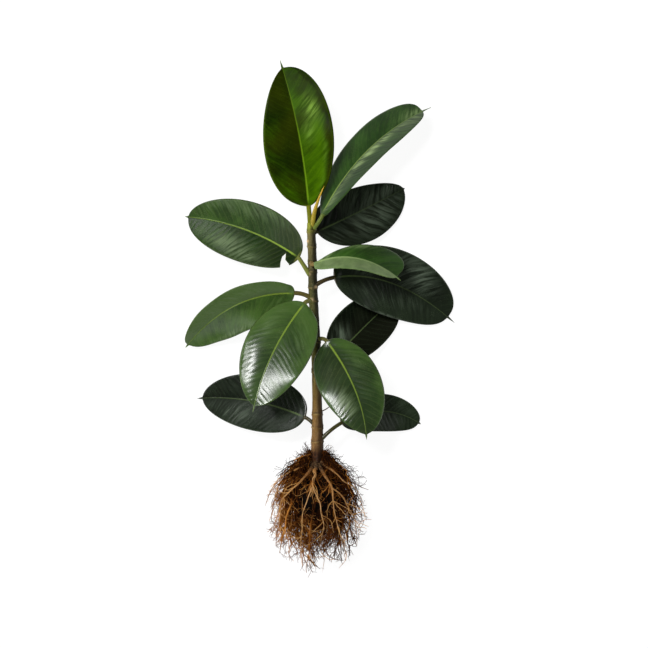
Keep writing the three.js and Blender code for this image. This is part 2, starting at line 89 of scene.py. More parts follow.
LEAVES = {
    "leaf_top": dict(
        foot=287, petiole=2.9, neck=(-8, 311, 4), middle=(-20.5, 402.5, 15), tip=(-44, 494, 6),
        half_width=(46.5, 43.5), widest=(0.41, 0.57), roundness=(0.5, 0.62), fold=(12, 12), arch=(0.05, 0.05),
        drip=0.06, look="young", halves=(0.12, 0.62), relief=0.8, shaded_rim=(0.15, 0.9), veined=0.3,
        light_shade_and_tone=[(0, 0.08, 0.7, 0.12, 0.5, 0.4), (0, 0.45, 0.95, 0.3, 0.22, 0.1),
               (0, 0.45, 0.25, 0.4, 0.25, -0.3), (0, 0.84, 0.4, 0.12, 0.5, -0.4),
               (1, 0.84, 0.5, 0.13, 0.6, -0.4), (1, 0.55, 0.5, 0.13, 0.7, -0.25),
               (1, 0.35, 0.6, 0.35, 0.25, 0.22)],
        dull=[(1, 0.85, 0.5, 0.25, 0.9, 1.4)],
        painted_highlight=[(1, 0.64, 0.5, 0.07, 0.2, 1.0), (1, 0.5, 0.3, 0.06, 0.16, 0.6),
               (1, 0.3, 0.72, 0.25, 0.07, 0.2)]),
    "leaf_top_right": dict(
        foot=280, petiole=2.5, neck=(9, 299, 4), middle=(66, 380.5, -4), tip=(145.5, 435.5, -14),
        half_width=(37, 39), widest=(0.65, 0.55), roundness=(0.6, 0.55), fold=(14, 9), arch=(0.05, 0.05),
        roll=-55, drip=0.06, look="satin", halves=(0.6, 0.5), relief=0.5, wave=0.2, veined=0.5,
        light_shade_and_tone=[(0, 0.2, 0.5, 0.2, 0.5, 0.2), (0, 0.1, 0.9, 0.3, 0.3, -0.5)],
        painted_highlight=[(1, 0.5, 0.2, 0.22, 0.17, 1.5), (1, 0.1, 0.2, 0.1, 0.3, 0.7), (1, 0.86, 0.3, 0.1, 0.6, 0.4),
               (0, 0.9, 0.15, 0.1, 0.3, 0.5)]),
    "leaf_back_right": dict(
        foot=268, petiole=2.3, neck=(2.5, 279.5, -11), middle=(57, 306, -34), tip=(113.5, 335.5, -47),
        half_width=(32, 40), widest=(0.35, 0.5), roundness=(0.3, 0.58), fold=(6, 6), arch=(0.05, 0.05),
        drip=0.015, look="deep", halves=(0.36, 0.36), relief=2.4, spacing=1.2, brown=0.5, faint_rib=0.6,
        light_shade_and_tone=[(0, 0.12, 0.5, 0.25, 0.9, -0.5), (1, 0.28, 0.3, 0.16, 0.4, -0.5)],
        dull=[(0, 0.1, 0.5, 0.3, 0.9, 1.2), (1, 0.22, 0.4, 0.25, 0.9, 1.2)],
        painted_highlight=[(0, 0.6, 0.5, 0.3, 0.5, 0.8), (1, 0.6, 0.4, 0.3, 0.45, 0.8), (1, 0.13, 0.6, 0.07, 0.3, 0.7)]),
    "leaf_upper_left": dict(
        foot=219, petiole=2.6, bend=0.05,
        neck=(-20.5, 246.5, 4), middle=(-89, 283, -28), tip=(-165, 299.6, -47),
        half_width=(41, 36.5), widest=(0.5, 0.43), roundness=(0.45, 0.41), fold=(8, 8), arch=(0.05, 0.05),
        drip=0.03, look="calm", halves=(0.5, 0.66), wax=(0.0, 0.05), relief=0.8, wave=0.4,
        light_shade_and_tone=[(0, 0.08, 0.5, 0.2, 0.9, -0.6), (1, 0.08, 0.5, 0.2, 0.9, -0.55),
               (0, 0.45, 0.15, 0.4, 0.2, -0.15), (1, 0.6, 0.5, 0.3, 0.4, -0.12)],
        dull=[(0, 0.02, 0.5, 0.3, 2.0, 1.5), (1, 0.1, 0.5, 0.3, 2.0, 1.4), (1, 0.5, 0.95, 0.6, 0.2, 1.0),
              (0, 0.95, 0.5, 0.2, 2.0, 0.9)],
        painted_highlight=[(0, 0.58, 0.6, 0.18, 0.28, 1.0), (0, 0.36, 0.75, 0.1, 0.18, 0.6),
               (1, 0.6, 0.75, 0.3, 0.35, 0.4), (1, 0.3, 0.8, 0.12, 0.2, 0.3)]),
    "leaf_front_right": dict(
        foot=243, petiole=2.5, neck=(-1, 238.5, 12), middle=(52.5, 244.5, 32), tip=(106, 217.5, 46),
        half_width=(34, 33), widest=(0.8, 0.5), roundness=(1.15, 0.45), fold=(14, 12), arch=(0.05, 0.05),
        roll=-55, drip=0.05, look="satin", halves=(0.6, 0.85), wax=(0.0, 0.48), relief=0.5, wave=0.2,
        brown=0.9, rib=(2.2, 1.0), pale_rib=0.8, veined=0.6,
        light_shade_and_tone=[(0, 0.3, 0.3, 0.15, 0.5, 0.3), (0, 0.55, 0.6, 0.1, 0.4, -0.2), (1, 0.5, 0.95, 0.6, 0.1, 0.3),
               (1, 0.3, 0.5, 0.1, 0.3, -0.4), (1, 0.62, 0.6, 0.1, 0.3, -0.35)],
        painted_highlight=[(0, 0.12, 0.7, 0.1, 0.5, 0.6), (0, 0.45, 0.85, 0.15, 0.15, 0.4)]),
    "leaf_right": dict(
        foot=210, petiole=2.7, neck=(24, 222, -4), middle=(99.5, 214, -28), tip=(177, 164.5, -47),
        half_width=(43.5, 41.5), widest=(0.5, 0.5), roundness=(0.4, 0.45), fold=(8, 8), arch=(0.05, 0.05),
        drip=0.06, look="dark", halves=(0.6, 0.6), wax=(0.03, 0.06), relief=1.2, brown=0.8,
        light_shade_and_tone=[(0, 0.45, 0.5, 0.08, 0.5, -0.4), (0, 0.8, 0.5, 0.08, 0.5, -0.4)],
        painted_highlight=[(0, 0.62, 0.5, 0.13, 0.45, 1.3), (0, 0.25, 0.5, 0.1, 0.4, 0.9),
               (1, 0.45, 0.35, 0.35, 0.35, 0.45), (1, 0.4, 0.99, 0.3, 0.05, 1.2)]),
    "leaf_mid_left": dict(
        foot=193, petiole=2.8, bend=0.6,
        neck=(-25.5, 202.5, 5), middle=(-101, 186.5, 2), tip=(-163.5, 134, -36),
        half_width=(39.5, 28.5), widest=(0.5, 0.46), roundness=(0.42, 0.46), fold=(5, 30), arch=(0.1, 0.05),
        roll=-25, drip=0.03, look="calm", halves=(0.8, 1.2), wax=(0.04, 0.2), relief=0.9, brown=0.7,
        light_shade_and_tone=[(1, 0.5, 1.0, 0.7, 0.25, 0.4), (0, 0.4, 0.6, 0.3, 0.3, 0.3)],
        dull=[(0, 0.55, 0.2, 0.7, 0.55, 1.0)],
        painted_highlight=[(0, 0.62, 0.85, 0.22, 0.12, 0.9), (1, 0.5, 0.5, 0.4, 0.4, 0.4),
               (0, 0.15, 0.6, 0.1, 0.4, 0.3)]),
    "leaf_front_left": dict(
        foot=190, petiole=2.8, neck=(-13, 189.5, 11), middle=(-53, 126, 36), tip=(-77, 54, 46),
        half_width=(44, 38.5), widest=(0.44, 0.47), roundness=(0.42, 0.6), fold=(13, 8), arch=(0.08, 0.25),
        drip=0.06, look="green", halves=(0.5, 0.54), wax=(0.08, 0.09), relief=1.2, brown=0.35,
        light_shade_and_tone=[(0, 0.08, 0.5, 0.2, 0.9, 0.5), (1, 0.08, 0.5, 0.2, 0.9, 0.5), (0, 0.4, 1.0, 0.6, 0.3, 0.5),
               (1, 0.4, 1.0, 0.6, 0.3, 0.4)],
        dull=[(0, 0.72, 0.5, 0.2, 0.5, 0.45), (1, 0.45, 0.5, 0.25, 0.8, 0.4)],
        painted_highlight=[(0, 0.3, 0.5, 0.25, 0.4, 0.25), (1, 0.35, 0.6, 0.3, 0.3, 0.3),
               (0, 0.72, 0.5, 0.12, 0.3, 0.4)]),
    "leaf_behind_right": dict(
        foot=108, petiole=2.4, neck=(24, 121, -11), middle=(61, 159, -35), tip=(102, 197.5, -47),
        half_width=(35, 32), widest=(0.48, 0.55), roundness=(0.42, 0.42), fold=(6, 6), arch=(0.05, 0.05),
        drip=0.05, look="deep", halves=(0.0, 0.02), relief=1.2, brown=0.6,
        dull=[(0, 0.6, 0.5, 0.6, 2.0, 0.6)],
        painted_highlight=[(0, 0.24, 0.42, 0.1, 0.3, 1.6), (1, 0.15, 0.5, 0.08, 0.3, 0.6)]),
    "leaf_front_lower_right": dict(
        foot=143, petiole=2.6, neck=(15, 142, 10), middle=(50, 81.5, 34), tip=(64, 20, 44),
        half_width=(36, 41), widest=(0.45, 0.4), roundness=(0.5, 0.42), fold=(-4, 16), arch=(0.12, 0.2),
        drip=0.06, look="green", halves=(0.34, 0.3), wax=(0.06, 0.08), relief=1.2, brown=0.5,
        light_shade_and_tone=[(0, 0.1, 0.6, 0.15, 0.5, 0.5), (0, 0.5, 1.0, 0.7, 0.28, 0.4), (1, 0.5, 1.0, 0.7, 0.24, 0.35)],
        painted_highlight=[(1, 0.6, 0.5, 0.16, 0.32, 1.1), (0, 0.3, 0.5, 0.2, 0.4, 0.2), (0, 0.75, 0.6, 0.1, 0.3, 0.25)]),
    "leaf_lower_left": dict(
        foot=31, petiole=2.4, neck=(-12.5, 47, -2), middle=(-79.5, 67, -26), tip=(-149.5, 69.5, -47),
        half_width=(36.5, 35), widest=(0.46, 0.43), roundness=(0.45, 0.42), fold=(6, 6), arch=(0.05, 0.05),
        drip=0.05, look="dark", halves=(0.6, 0.4), relief=1.4, brown=0.7, wave=0.4,
        dull=[(0, 0.0, 0.5, 0.2, 2.0, 1.0), (1, 0.0, 0.5, 0.2, 2.0, 1.0)],
        painted_highlight=[(0, 0.68, 0.5, 0.16, 0.3, 0.9), (1, 0.6, 0.5, 0.3, 0.4, 0.1), (0, 0.3, 0.4, 0.15, 0.3, 0.3)]),
    "leaf_lower_right": dict(
        foot=14, petiole=2.4, neck=(33, 40, -4), middle=(84.5, 54, -27), tip=(134, 37, -45),
        half_width=(22, 25.5), widest=(0.48, 0.5), roundness=(0.45, 0.42), fold=(6, 6), arch=(0.05, 0.05),
        drip=0.03, look="dark", halves=(0.9, 0.9), relief=1.0, brown=0.5,
        painted_highlight=[(1, 0.5, 0.5, 0.4, 0.5, 0.45), (0, 0.5, 0.5, 0.4, 0.5, 0.35)]),
}  # tones paint light and shade along with the leaf's own tone, sheen paints highlights, dull adds roughness; each spot: half, share, reach, how far along and across it spreads, strength
TEAR = [(-36.5, 252), (-41, 248), (-43, 241), (-44, 228), (-29, 228), (-33, 239), (-37.2, 244)]

SHEATH = dict(points=[(-3.6, 286, 1), (-0.9, 303, 7), (4.4, 319, 13), (11.3, 335.5, 19)], radius=(3.2, 0.4))
TWIG = dict(points=[(2.6, 53, 1), (12, 56.5, 3), (19, 61, 5)], radius=(1.1, 0.5))

BALL = dict(x=3, y=-58, half_width=57, half_length=66, front=38, back=56)
ROOTS = {
    "root_centre": dict(
        points=[(1.5, -6, 0), (0, -20, 0.75), (-3, -40, 1)],
        radius=(3.4, 1.1), taper=0.9, late=0.35),
    "root_centre_left": dict(
        points=[(-3, -38, 1), (-12.5, -61, 1), (-15.6, -81, 1), (-17, -112, 1), (-9.5, -126, 0.5),
                (-6, -138, 0)],
        radius=(0.82, 0.4), taper=1.4, forked=0.72),
    "root_centre_right": dict(
        points=[(-3, -38, 1), (5.5, -58, 1), (8, -72, 1), (12, -88, 1), (6.6, -103, 1), (7, -118, 0.6),
                (12, -134, 0), (9.5, -147, 0)],
        radius=(0.82, 0.4), taper=1.4, forked=0.72),
    "root_left": dict(
        points=[(-1, -10, 0.1), (-8, -21, 0.7), (-18.5, -32, 1), (-29, -42, 1), (-40, -54, 1), (-44, -70, 1),
                (-43, -90, 0.8), (-38, -116, 0)],
        radius=(3.3, 0.6)),
    "root_far_left": dict(
        points=[(-2, -7, 0), (-19, -15.5, 0.6), (-33.5, -22, 0.7), (-47, -31, 0.3), (-55, -45, 0),
                (-63, -65, 0)],
        radius=(2.8, 0.6)),
    "root_right": dict(
        points=[(3, -10, 0.1), (9.5, -20, 0.7), (16, -29, 1), (21, -39.5, 1), (22.5, -55, 1), (24.5, -70, 1),
                (28.5, -88, 1), (33.5, -106, 0.8), (40.8, -129, 0)],
        radius=(3.3, 0.6)),
    "root_right_branch": dict(
        points=[(20, -39, 1), (32.5, -47.5, 1), (39, -60, 1), (46, -72, 0.8), (51, -84, 0.5), (52, -116, 0)],
        radius=(0.95, 0.4), taper=1.5, forked=0.4),
    "root_far_right": dict(
        points=[(4, -7, 0), (18, -16, 0.6), (36, -31, 0.8), (49, -41, 0.5), (56, -50, 0), (61, -63, 0)],
        radius=(3.0, 0.6)),
    "root_back_left": dict(
        points=[(-1, -10, -0.1), (-12, -24, -0.6), (-28, -50, -0.72), (-32, -85, -0.7), (-22, -120, 0)],
        radius=(3.4, 0.8)),
    "root_back_middle": dict(
        points=[(1, -12, -0.1), (3, -28, -0.6), (0, -55, -0.72), (6, -90, -0.7), (14, -122, 0)],
        radius=(3.2, 0.8)),
    "root_back_right": dict(
        points=[(4, -10, -0.1), (16, -24, -0.6), (32, -50, -0.72), (35, -84, -0.7), (26, -118, 0)],
        radius=(3.4, 0.8)),
}

FRONT_ROOTS = [
    "root_centre", "root_centre_left", "root_centre_right", "root_left", "root_right", "root_right_branch",
]
BALL_PROFILE = np.array([
    (10, 3), (4, 10), (-4, 22), (-16, 34), (-30, 43), (-48, 47), (-66, 48), (-80, 45), (-94, 36), (-108, 28),
    (-120, 20), (-132, 10),
], float)  # height, half width of the mass of thin roots

ROOT_OUTLINE = np.array([
    (18, 14), (8, 30), (-6, 44), (-18, 58), (-46, 73), (-77, 78), (-94, 70), (-105, 59), (-131, 41),
    (-149, 20), (-150, 0),
], float)  # height, half width that the outermost root tips reach

UP = np.array([0.0, 0.0, 1.0])
HEART = dict(half_width=0.58, half_length=0.54, front=0.5, back=0.8)  # shares of the ball's own sizes
HEART_GAP = 1  # between the heart and the surface
ROOT_GAP = 0.1  # between the lowest thin roots and the surface
FOOT_FRONT = dict(x=1.5, half_width=5, low=-17)  # where no thin root may cross in front of the stem
ODD_WAY = np.array([0.31, 0.22, 0.92])  # a direction that hardly any root keeps to

# ---- shapes ----

def unit(v):
    return v / np.linalg.norm(v, axis=-1, keepdims=True)


def smooth_step(x, low, high):
    t = np.clip((np.asarray(x, float) - low) / (high - low), 0, 1)
    return t * t * (3 - 2 * t)


def skin(name, points, masks):
    """A closed surface through rows of points: a grid bent round, its seam and its two ends merged."""
    rows, columns = points.shape[:2]
    bpy.ops.mesh.primitive_grid_add(x_subdivisions=columns - 1, y_subdivisions=rows - 1, size=1)
    piece = bpy.context.object
    piece.name = name
    mesh = piece.data
    flat = np.empty(len(mesh.vertices) * 3)
    mesh.vertices.foreach_get("co", flat)
    flat = flat.reshape(-1, 3)
    column = np.rint((flat[:, 0] + 0.5) * (columns - 1)).astype(int)
    row = np.rint((flat[:, 1] + 0.5) * (rows - 1)).astype(int)
    mesh.vertices.foreach_set("co", (points[row, column] * MM + COLLAR).ravel())
    for mask, values in masks.items():
        layer = mesh.attributes.new(mask, "FLOAT", "POINT")
        layer.data.foreach_set("value", values[row, column])
    bpy.ops.object.mode_set(mode="EDIT")
    bpy.ops.mesh.select_all(action="SELECT")
    bpy.ops.mesh.remove_doubles(threshold=1e-7)
    bpy.ops.mesh.normals_make_consistent(inside=False)
    bpy.ops.object.mode_set(mode="OBJECT")
    bpy.ops.object.shade_smooth()
    bpy.ops.object.select_all(action="DESELECT")
    return piece


def bezier(start, middle, end, u):
    """Points and directions of the curve from start to end that passes middle half way."""
    start, middle, end = (np.array(p, float) for p in (start, middle, end))
    control = 2 * middle - (start + end) / 2
    return bent(start, control, end, u)


def bent(start, control, end, u):
    u = np.asarray(u)[:, None]
    point = (1 - u) ** 2 * start + 2 * u * (1 - u) * control + u * u * end
    return point, unit(2 * (1 - u) * (control - start) + 2 * u * (end - control))


def smooth_path(points, count):
    """Evenly spread points of a smooth curve through the given ones."""
    points = np.array(points, float)
    spread = np.concatenate([[0], np.cumsum(np.linalg.norm(np.diff(points, axis=0), axis=1))])
    padded = np.vstack([2 * points[0] - points[1], points, 2 * points[-1] - points[-2]])
    where = np.linspace(0, spread[-1], count)
    k = np.clip(np.searchsorted(spread, where, side="right") - 1, 0, len(points) - 2)
    t = ((where - spread[k]) / (spread[k + 1] - spread[k]))[:, None]
    a, b, c, d = padded[k], padded[k + 1], padded[k + 2], padded[k + 3]
    return 0.5 * (2 * b + (c - a) * t + (2 * a - 5 * b + 4 * c - d) * t**2 + (3 * b - a - 3 * c + d) * t**3)


def carried_frames(path):
    """Two unit vectors across the path at each point, turned as little as possible from one to the next."""
    along = unit(np.gradient(path, axis=0))
    side = np.empty_like(path)
    side[0] = unit(np.cross(along[0], UP + 0.01))
    for i in range(1, len(path)):
        side[i] = unit(side[i - 1] - along[i] * np.dot(side[i - 1], along[i]))
    return side, np.cross(along, side)


def tube_points(path, radius, sides):
    """Rows of points round a path, closed to a point at both ends. radius is one number for each place."""
    side, up = carried_frames(path)
    angle = np.linspace(0, 2 * np.pi, sides + 1)[None, :, None]
    radius = np.broadcast_to(radius, (len(path), sides + 1))[:, :, None]
    rings = path[:, None] + radius * (side[:, None] * np.cos(angle) + up[:, None] * np.sin(angle))
    ends = [np.repeat(path[i][None, None], sides + 1, axis=1) for i in (0, -1)]
    return np.concatenate([ends[0], rings, ends[1]])


def end_rows(values):
    """The same values with the first and last row repeated, to go with tube_points."""
    return np.concatenate([values[:1], values, values[-1:]])


def stem_at(height):
    heights, offsets, radii = np.array(STEM, float).T
    taper = np.interp(height, heights, radii)
    return np.interp(height, heights, offsets), taper


# ---- leaves ----

def leaf_outline(leaf, share, half):
    """The half width of a blade: a rounded outline that narrows into the drip tip."""
    along = np.minimum(share / (1 - leaf["drip"]), 1)
    widest, roundness = leaf["widest"][half], leaf["roundness"][half]
    rise = (along / widest) ** roundness
    fall = ((1 - along) / (1 - widest)) ** (roundness * (1 - widest) / widest)
    outline = leaf["half_width"][half] * rise * fall
    neck = leaf["petiole"] * np.maximum(0, 1 - share / 0.1)
    drip = np.where(share > 0.7, DRIP_TIP_WIDTH / 2 * np.minimum(1, (1 - share) / (2 * leaf["drip"])), 0)
    return np.cbrt(outline**3 + neck**3 + drip**3)


def leaf_rows(leaf):
    """The centre, side, normal and masks of every row of a leaf, from its foot inside the stem to its tip."""
    neck = np.array(leaf["neck"], float)
    heading = bezier(leaf["neck"], leaf["middle"], leaf["tip"], [0.0])[1][0]
    foot = np.array([stem_at(leaf["foot"])[0], leaf["foot"], 0.0])
    bend = neck - heading * np.linalg.norm(neck - foot) * leaf.get("bend", 0.5)
    petiole_share = np.linspace(0.12, 1, PETIOLE_ROWS, endpoint=False)
    near_neck = 0.06 * (np.arange(NECK_ROWS) / NECK_ROWS) ** 2
    middle = np.linspace(0.06, 0.92, BLADE_ROWS, endpoint=False)
    near_tip = 1 - 0.08 * (1 - np.arange(TIP_ROWS) / (TIP_ROWS - 1)) ** 1.3
    share = np.concatenate([near_neck, middle, near_tip])
    stalk, stalk_way = bent(foot, bend, neck, petiole_share)
    blade, blade_way = bezier(leaf["neck"], leaf["middle"], leaf["tip"], share)
    centre, way = np.vstack([stalk, blade]), np.vstack([stalk_way, blade_way])
    flat_normal = unit(UP - way * (way @ UP)[:, None])
    roll = math.radians(leaf.get("roll", 0)) * np.concatenate([petiole_share, np.ones(len(share))])[:, None]
    flat_side = np.cross(way, flat_normal)
    normal = np.cos(roll) * flat_normal + np.sin(roll) * flat_side
    side = np.cross(way, normal)
    step = np.linalg.norm(np.diff(blade, axis=0), axis=1)
    along = np.concatenate([np.linspace(-np.linalg.norm(neck - foot), 0, PETIOLE_ROWS, endpoint=False),
                            [0], np.cumsum(step)])
    full_share = np.concatenate([np.zeros(PETIOLE_ROWS), share])
    swell = np.concatenate([petiole_share, np.ones(len(share))])
    return centre, side, normal, along, full_share, swell


def soft_spots(places, share, reach, right):
    """A mask of soft spots.

    Each place is a half, a share, a reach, how far it spreads along and across, and a strength.
    """
    total = np.zeros(np.broadcast(share, reach).shape)
    for half, at_share, at_reach, long, wide, strength in places:
        spot = np.exp(-(((share - at_share) / long) ** 2) - ((reach - at_reach) / wide) ** 2)
        total += strength * spot * (right == bool(half))
    return total


def leaf_surface(leaf, seed):
    """The points of a leaf's closed surface, and the masks that its material reads."""
    centre, side, normal, along, share, swell = leaf_rows(leaf)
    rng = np.random.default_rng(seed)
    phases = rng.uniform(0, 2 * np.pi, 6)
    rows = len(centre)
    upper = np.linspace(-1, 1, UPPER_COLUMNS + 1)
    under = np.linspace(1, -1, UNDER_COLUMNS + 1)[1:]
    spread = np.concatenate([upper, under])[None, :]
    is_upper = np.concatenate([np.ones(UPPER_COLUMNS + 1), np.zeros(UNDER_COLUMNS)])[None, :]
    face = 2 * is_upper - 1
    flat = smooth_step(share, 0, 0.07)[:, None]
    across = (1 - flat) * np.sin(np.pi / 2 * spread) + flat * np.sign(spread) * np.abs(spread) ** 1.5
    reach = np.abs(across) + np.zeros((rows, 1))
    right = across > 0
    width = np.where(right, leaf_outline(leaf, share, 1)[:, None], leaf_outline(leaf, share, 0)[:, None])
    stalk = leaf["petiole"] * (PETIOLE_SWELL + (1 - PETIOLE_SWELL) * np.minimum(1, 2 * swell))[:, None]
    width = np.where(share[:, None] <= 0, stalk, width)
    distance = reach * width
    slope = np.where(right, *(math.tan(math.radians(leaf["fold"][k])) for k in (1, 0)))
    arch = np.where(right, leaf["arch"][1], leaf["arch"][0])
    lift = flat * width * (slope * reach - arch * reach**2)

    s = along[:, None]
    spacing = VEIN_SPACING * leaf.get("spacing", 1)
    wobble = 1.3 * np.sin(s / 9 + phases[0]) + 0.8 * np.sin(s / 4.3 + phases[1] + 2 * right)
    run = s + wobble - VEIN_LEAN * distance - 0.006 * distance**2
    main_vein = np.abs(np.sin(np.pi * run / spacing))
    small_vein = np.abs(np.sin(np.pi * (3 * run / spacing + 0.5)))
    inside = smooth_step(distance, 1, 6) * (1 - smooth_step(reach, 0.86, 0.97)) * flat
    strength = 1 + 0.45 * np.sin(s / 17 + phases[3]) + 0.35 * np.sin(s / 7.3 + phases[4] + 3 * right)
    depth = VEIN_DEPTH * leaf["relief"] * strength
    quilt = depth * (main_vein**0.8 - 1) + 0.2 * depth * (small_vein - 1)
    margin = MARGIN_WAVE * leaf.get("wave", 1) * reach**3 * np.sin(s / 8.5 + phases[2] + 2.5 * right) * flat
    lift = lift + quilt * inside + margin * smooth_step(share, 0.05, 0.3)[:, None]

    wide, narrow = leaf.get("rib", RIB_WIDTH)
    rib_width = (wide + (narrow - wide) * share**0.8)[:, None]
    rib = np.exp(-((distance / rib_width) ** 2))
    blade_half = BLADE_THICKNESS / 2 * (1 - smooth_step(reach, 0.9, 1.0)) ** 0.5
    stalk_half = stalk * np.sqrt(np.maximum(0, 1 - reach**2))
    half_thick = (1 - flat) * stalk_half + flat * blade_half * (1 - smooth_step(share, 0.9, 1))[:, None]
    ridge = np.where(is_upper > 0, 0.22, RIB_HEIGHT * (1 - 0.75 * share)[:, None]) * rib * flat
    offset = lift + face * (half_thick + ridge)
    points = (centre[:, None] + side[:, None] * (across * width)[:, :, None]
              + normal[:, None] * offset[:, :, None])
    points = np.concatenate([np.repeat(centre[:1, None], points.shape[1], axis=1), points])
    points[-1] = centre[-1]

    share = share[:, None]
    # How light each half is, and the tone spots, hold painted light and shade as well as the leaf's own tone
    halves, shaded_rim, wax = (leaf.get(key, (0, 0)) for key in ("halves", "shaded_rim", "wax"))
    spots = soft_spots(leaf.get("light_shade_and_tone", []), share, reach, right)
    # Painted shade: the outer band of a half darkens towards the margin, where the blade curls back from the
    # light
    painted_rim_shade = np.where(right, shaded_rim[1], shaded_rim[0]) * smooth_step(reach + 0.04 * np.sin(s / 6), 0.68, 1.0)
    flat_masks = dict(
        upper=is_upper,
        rib=(1 - smooth_step(distance, 0.55 * rib_width, 1.15 * rib_width)) * flat,
        inside=inside * leaf.get("veined", 1),
        blade=smooth_step(share, 0, 0.014),
        lightness=np.where(right, halves[1], halves[0]) + spots - painted_rim_shade,
        wax=np.where(right, wax[1], wax[0]),
        # painted highlights
        painted_highlight=soft_spots(leaf.get("painted_highlight", []), share, reach, right),
        dull=soft_spots(leaf.get("dull", []), share, reach, right),
        faint_rib=np.array([[leaf.get("faint_rib", 0.0)]]),
        brown=np.array([[leaf.get("brown", 0.0)]]),
        pale_rib=np.array([[leaf.get("pale_rib", 0.0)]]),
        margin=smooth_step(reach, 0.93, 1.0) * flat,
        share=share,
        phase=run / spacing + 7 * seed + 40 * right,
        across=distance,
    )
    masks = {name: np.broadcast_to(values, reach.shape) for name, values in flat_masks.items()}
    masks = {name: np.concatenate([values[:1], values]) for name, values in masks.items()}
    return points, masks


def grow_leaf(node, leaf, seed):
    points, masks = leaf_surface(leaf, seed)
    return skin(node + "_surface", points, masks)


def tear_blade(piece):
    """Cuts the tear into the blade with a wedge, then removes the wedge."""
    bpy.ops.mesh.primitive_circle_add(vertices=len(TEAR), radius=1, fill_type="NGON")
    wedge = bpy.context.object
    for vertex, (x, y) in zip(wedge.data.vertices, TEAR):
        vertex.co = Vector(np.array([x, y, -STEM_DEPTH]) * MM + COLLAR)
    bpy.ops.object.mode_set(mode="EDIT")
    bpy.ops.mesh.select_all(action="SELECT")
    bpy.ops.mesh.extrude_region_move(TRANSFORM_OT_translate={"value": (0, 0, 2 * STEM_DEPTH * MM)})
    bpy.ops.mesh.select_all(action="SELECT")
    bpy.ops.mesh.normals_make_consistent(inside=False)
    bpy.ops.object.mode_set(mode="OBJECT")
    bpy.ops.object.select_all(action="DESELECT")
    bpy.context.view_layer.objects.active = piece
    cut = piece.modifiers.new("tear", "BOOLEAN")
    cut.object = wedge
    cut.operation = "DIFFERENCE"
    bpy.ops.object.modifier_apply(modifier="tear")
    bpy.data.objects.remove(wedge)


# ---- stem, sheath and twig ----

def grow_stem():
    heights = np.linspace(STEM[0][0], STEM[-1][0], STEM_ROWS)
    offset, radius = stem_at(heights)
    for _ in range(3):
        radius = np.convolve(np.pad(radius, 6, mode="edge"), np.full(13, 1 / 13), mode="valid")
        offset = np.convolve(np.pad(offset, 6, mode="edge"), np.full(13, 1 / 13), mode="valid")
    path = np.stack([offset, heights, np.zeros_like(heights)], axis=1)
    angle = np.linspace(0, 2 * np.pi, STEM_SIDES + 1)[None, :]
    h = heights[:, None]
    scar = np.zeros((len(heights), STEM_SIDES + 1))
    for i, place in enumerate(SCARS):
        ring = place + SCAR_TILT * np.cos(angle - SCAR_TURN * i)
        scar = np.maximum(scar, np.exp(-(((h - ring) / 1.1) ** 2)))
    swollen = np.max([0.75 * np.exp(-(((h - place) / 2.6) ** 2)) for place in SCARS], axis=0)
    spot = np.max([strength * np.exp(-(((h - place) / 1.9) ** 2) - ((angle - turn * np.pi) / 0.42) ** 2)
                   for place, turn, strength in PALE_SPOTS], axis=0)
    grain = (0.10 * np.sin(5 * angle + h / 7) * np.sin(h / 3.1 + 2 * angle)
             + 0.07 * np.sin(9 * angle - h / 2.3))
    crown = 0.6 * np.sin(4 * angle + 0.6) * smooth_step(-h, -6, 14)
    crown = crown + 0.4 * np.sin(11 * angle + h) * np.sin(h / 1.1 + 3 * angle) * smooth_step(-h, -9, 0)
    lip = np.zeros_like(scar)
    for i, place in enumerate(SCARS):
        ring = place - 1.9 + SCAR_TILT * np.cos(angle - SCAR_TURN * i)
        lip = np.maximum(lip, np.exp(-(((h - ring) / 0.9) ** 2)))
    full = radius[:, None] + swollen - 0.3 * scar + 0.45 * lip + 0.9 * spot + grain + crown
    points = tube_points(path, full, STEM_SIDES)
    # Painted shade: a mask that grows towards the right side of the stem, turned from the lights
    shaded_side = smooth_step((points[..., 0] - end_rows(offset[:, None])) / end_rows(radius[:, None]), -0.45, 0.55)
    masks = dict(scar=end_rows(scar), lip=end_rows(lip), spot=end_rows(spot), shaded_side=shaded_side)
    return skin("stem_surface", points, masks)


def grow_shoot(name, shoot, sides=24, rows=60, ridge=0.0, droop=0.7):
    path = smooth_path(shoot["points"], rows)
    t = np.linspace(0, 1, rows)[:, None]
    angle = np.linspace(0, 2 * np.pi, sides + 1)[None, :]
    thick, thin = shoot["radius"]
    radius = thick + (thin - thick) * t**droop
    radius = radius * (1 + ridge * np.sin(3 * angle + 4 * t)) * np.minimum(1, 18 * (1 - t) + 0.15)
    along = np.broadcast_to(t, radius.shape)
    return skin(name, tube_points(path, radius, sides), dict(share=end_rows(along)))


# ---- roots ----

def ball_point(x, y, depth):
    square = 1 - ((x - BALL["x"]) / BALL["half_width"]) ** 2 - ((y - BALL["y"]) / BALL["half_length"]) ** 2
    reach = BALL["front"] if depth > 0 else BALL["back"]
    return (x, y, depth * reach * math.sqrt(max(0, square)))


def root_path(root, count):
    return smooth_path([ball_point(*point) for point in root["points"]], count)


